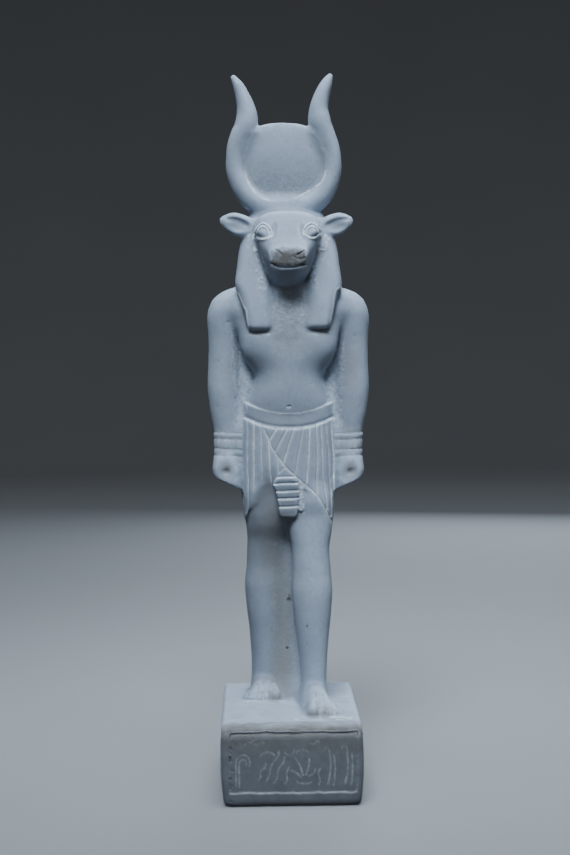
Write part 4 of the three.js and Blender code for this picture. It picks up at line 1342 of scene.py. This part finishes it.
def paint(piece):
    """Where the stone is chalky, rough or dirty, and its painted shade and highlights, as numbers on the
    mesh's points.
    """
    data = piece.data
    place = points_of(data)
    facing = np.empty(place.size, np.float32)
    data.vertex_normals.foreach_get("vector", facing)
    skin = Skin(place, facing.reshape(-1, 3).T)
    carve(skin)
    soft = sampled(soft_copy(round(1.3 / STEP)), place) * 2.5
    values = {name: skin.tints[name] for name in ("chalk", "rough", "grime", "ochre")}
    # Painted shade deepened in hollows, and a painted highlight on edges, from the field's average.
    values["hollow"] = skin.tints["dull"] - soft
    values["edge"] = soft
    for name, value in values.items():
        layer = data.attributes.new(name, "FLOAT", "POINT")
        layer.data.foreach_set("value", unit(value).astype(np.float32))


def stand_upright(piece):
    """Turns the finished mesh out of the measured view, on to the middle of the ground."""
    data = piece.data
    x, y, z = points_of(data)
    across, level = upright(x, z)
    low, high = (np.array(corner) / MM for corner in cad_box)
    place = np.clip(np.stack([across + SHIFT_X, y, level], 1), low, high) * MM
    data.vertices.foreach_set("co", place.astype(np.float32).ravel())
    data.update()
    data.shade_smooth()


# Materials.


class Nodes:
    """A short way to write a material's nodes."""

    def __init__(self, name):
        self.material = bpy.data.materials.new(name)
        self.material.use_nodes = True
        self.tree = self.material.node_tree
        self.inputs = self.tree.nodes["Principled BSDF"].inputs
        self.place = self.add("ShaderNodeTexCoord").outputs["Object"]

    def add(self, kind, inputs=(), **settings):
        node = self.tree.nodes.new(kind)
        for key, value in settings.items():
            setattr(node, key, value)
        for key, value in dict(inputs).items():
            self.put(node.inputs[key], value)
        return node

    def put(self, socket, value):
        """Links a socket, or sets its value, where a color is given as three numbers."""
        if isinstance(value, bpy.types.NodeSocket):
            self.tree.links.new(value, socket)
        else:
            socket.default_value = (*value, 1) if socket.type == "RGBA" else value

    def attribute(self, name):
        return self.add("ShaderNodeAttribute", attribute_name=name).outputs["Fac"]

    def noise(self, scale, detail=3.0, roughness=0.5):
        inputs = {"Vector": self.place, "Scale": scale, "Detail": detail, "Roughness": roughness}
        return self.add("ShaderNodeTexNoise", inputs).outputs["Fac"]

    def times(self, a, b):
        return self.add("ShaderNodeMath", {0: a, 1: b}, operation="MULTIPLY").outputs[0]

    def mapped(self, value, low, high, to_low=0.0, to_high=1.0):
        inputs = {"Value": value, "From Min": low, "From Max": high, "To Min": to_low, "To Max": to_high}
        return self.add("ShaderNodeMapRange", inputs).outputs["Result"]

    def mix(self, share, a, b):
        return self.add("ShaderNodeMix", data_type="RGBA", inputs={0: share, 6: a, 7: b}).outputs[2]

    def bump(self, height, distance, strength, **normal):
        inputs = {"Height": height, "Distance": distance, "Strength": strength, **normal}
        return self.add("ShaderNodeBump", inputs).outputs["Normal"]


def stone():
    """White limestone: finely mottled, chalky in fresh cuts, pitted and dirty, with painted shade and
    highlights.
    """
    n = Nodes("white_stone")
    chalk, rough, grime, ochre, hollow, edge = (
        n.attribute(name) for name in ("chalk", "rough", "grime", "ochre", "hollow", "edge")
    )
    cloud = n.noise(40.0, 5.0, 0.6)
    mottle = n.noise(170.0, 4.0, 0.6)
    grain = n.noise(620.0, 3.0, 0.6)
    speck = n.noise(1500.0, 2.0)
    flaking = n.mapped(n.noise(260.0, 3.0, 0.6), 0.35, 0.62)
    dirt = n.mapped(n.noise(180.0, 5.0, 0.65), 0.3, 0.65, 0.5, 1.0)
    shares = {
        "mottle": n.mapped(mottle, 0.4, 0.7, 0.0, 0.35),
        "grain": n.mapped(grain, 0.35, 0.65, 0.0, 0.4),
        "speck": n.mapped(speck, 0.62, 0.75, 0.0, 0.25),
        "rough": n.times(rough, n.mapped(grain, 0.4, 0.6)),
        # Painted shade, and a painted highlight on edges.
        "hollow": n.times(hollow, 0.75),
        "edge": n.times(edge, 0.35),
        # The white of fresh cuts, and painted highlights on ledges.
        "chalk": n.times(chalk, n.mapped(flaking, 0.0, 1.0, 0.5, 1.0)),
        # Brown and dark dirt, and painted shade in places.
        "ochre": n.times(ochre, n.mapped(cloud, 0.3, 0.7, 0.7, 1.0)),
        "grime": n.times(grime, dirt),
    }
    color = n.mix(n.mapped(cloud, 0.3, 0.7), *STONE_SHADES)
    for name, share in shares.items():
        color = n.mix(share, color, STONE_TINTS[name])
    fine = n.bump(grain, 0.00025, 0.35)
    stipple = n.bump(n.noise(900.0, 2.0), 0.0006, n.times(rough, 0.9), Normal=fine)
    for name, value in (
        ("Base Color", color),
        ("Roughness", n.mapped(rough, 0.0, 1.0, 0.68, 0.9)),
        ("Specular IOR Level", 0.14),
        ("Subsurface Weight", 0.08),
        ("Subsurface Radius", (1.0, 0.95, 0.9)),
        ("Subsurface Scale", 0.0012),
        ("Normal", stipple),
    ):
        n.put(n.inputs[name], value)
    return n.material


def floor_material():
    n = Nodes("studio_floor")
    n.put(n.inputs["Base Color"], n.mix(n.noise(3.0), *FLOOR_SHADES))
    n.put(n.inputs["Roughness"], 0.8)
    return n.material


# The studio and the camera.


def area_light(name, place, target, size, power, spread):
    light = bpy.data.lights.new(name, "AREA")
    light.shape = "RECTANGLE"
    light.size, light.size_y = size
    light.energy = power
    light.color = LIGHT_COLOR
    light.spread = math.radians(spread)
    lamp = new_object(name, light)
    lamp.location = place
    lamp.rotation_euler = (Vector(target) - Vector(place)).to_track_quat("-Z", "Y").to_euler()


def bowl():
    """A round pale floor that curves up into a wall, so that no horizon shows from any side."""
    sides, steps = 96, 16
    profile = [(FLOOR_RADIUS * share, 0.0) for share in (0.25, 0.5, 1)]
    for i in range(1, steps + 1):
        turn = math.pi / 2 * i / steps
        profile.append((FLOOR_RADIUS + CURVE_RADIUS * math.sin(turn), CURVE_RADIUS * (1 - math.cos(turn))))
    profile.append((FLOOR_RADIUS + CURVE_RADIUS, WALL_TOP))
    points = [(0.0, 0.0, 0.0)]
    for radius, height in profile:
        for i in range(sides):
            turn = 2 * math.pi * i / sides
            points.append((radius * math.cos(turn), radius * math.sin(turn), height))
    faces = [(0, 1 + i, 1 + (i + 1) % sides) for i in range(sides)]
    for low in range(1, 1 + sides * (len(profile) - 1), sides):
        for i in range(sides):
            j = (i + 1) % sides
            faces.append((low + i, low + sides + i, low + sides + j, low + j))
    data = bpy.data.meshes.new("floor")
    data.from_pydata(points, [], faces)
    data.shade_smooth()
    floor = new_object("floor", data)
    data.materials.append(floor_material())
    # The floor throws no light back on to the statue.
    floor.visible_diffuse = False


def studio():
    """The pale floor, a weak grey sky and the lights."""
    bowl()
    world = bpy.data.worlds.new("studio")
    bpy.context.scene.world = world
    world.use_nodes = True
    sky = world.node_tree.nodes["Background"]
    sky.inputs["Color"].default_value = SKY_COLOR
    sky.inputs["Strength"].default_value = SKY_STRENGTH
    for light in LIGHTS:
        area_light(*light)


def camera():
    """The photograph's viewpoint: 0.61 m in front of the base, a little to the left of it and turned."""
    width, height = PICTURE
    lens = bpy.data.cameras.new("photo_view")
    lens.sensor_fit = "VERTICAL"
    lens.sensor_height = 36.0
    lens.lens = lens.sensor_height * FOCAL / height
    lens.shift_x = (width / 2 - AXIS_ACROSS) / height
    lens.shift_y = (AXIS_DOWN - height / 2) / height
    eye = new_object("photo_view", lens)
    across, level = upright(EYE[0], EYE[2])
    eye.location = ((across + SHIFT_X) * MM, EYE[1] * MM, level * MM)
    eye.rotation_euler = (math.radians(90), TURN, 0)
    bpy.context.scene.camera = eye


camera()
statue = statue_mesh()
paint(statue)
stand_upright(statue)
statue.data.materials.append(stone())
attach(statue, "root")
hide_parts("statue")
studio()
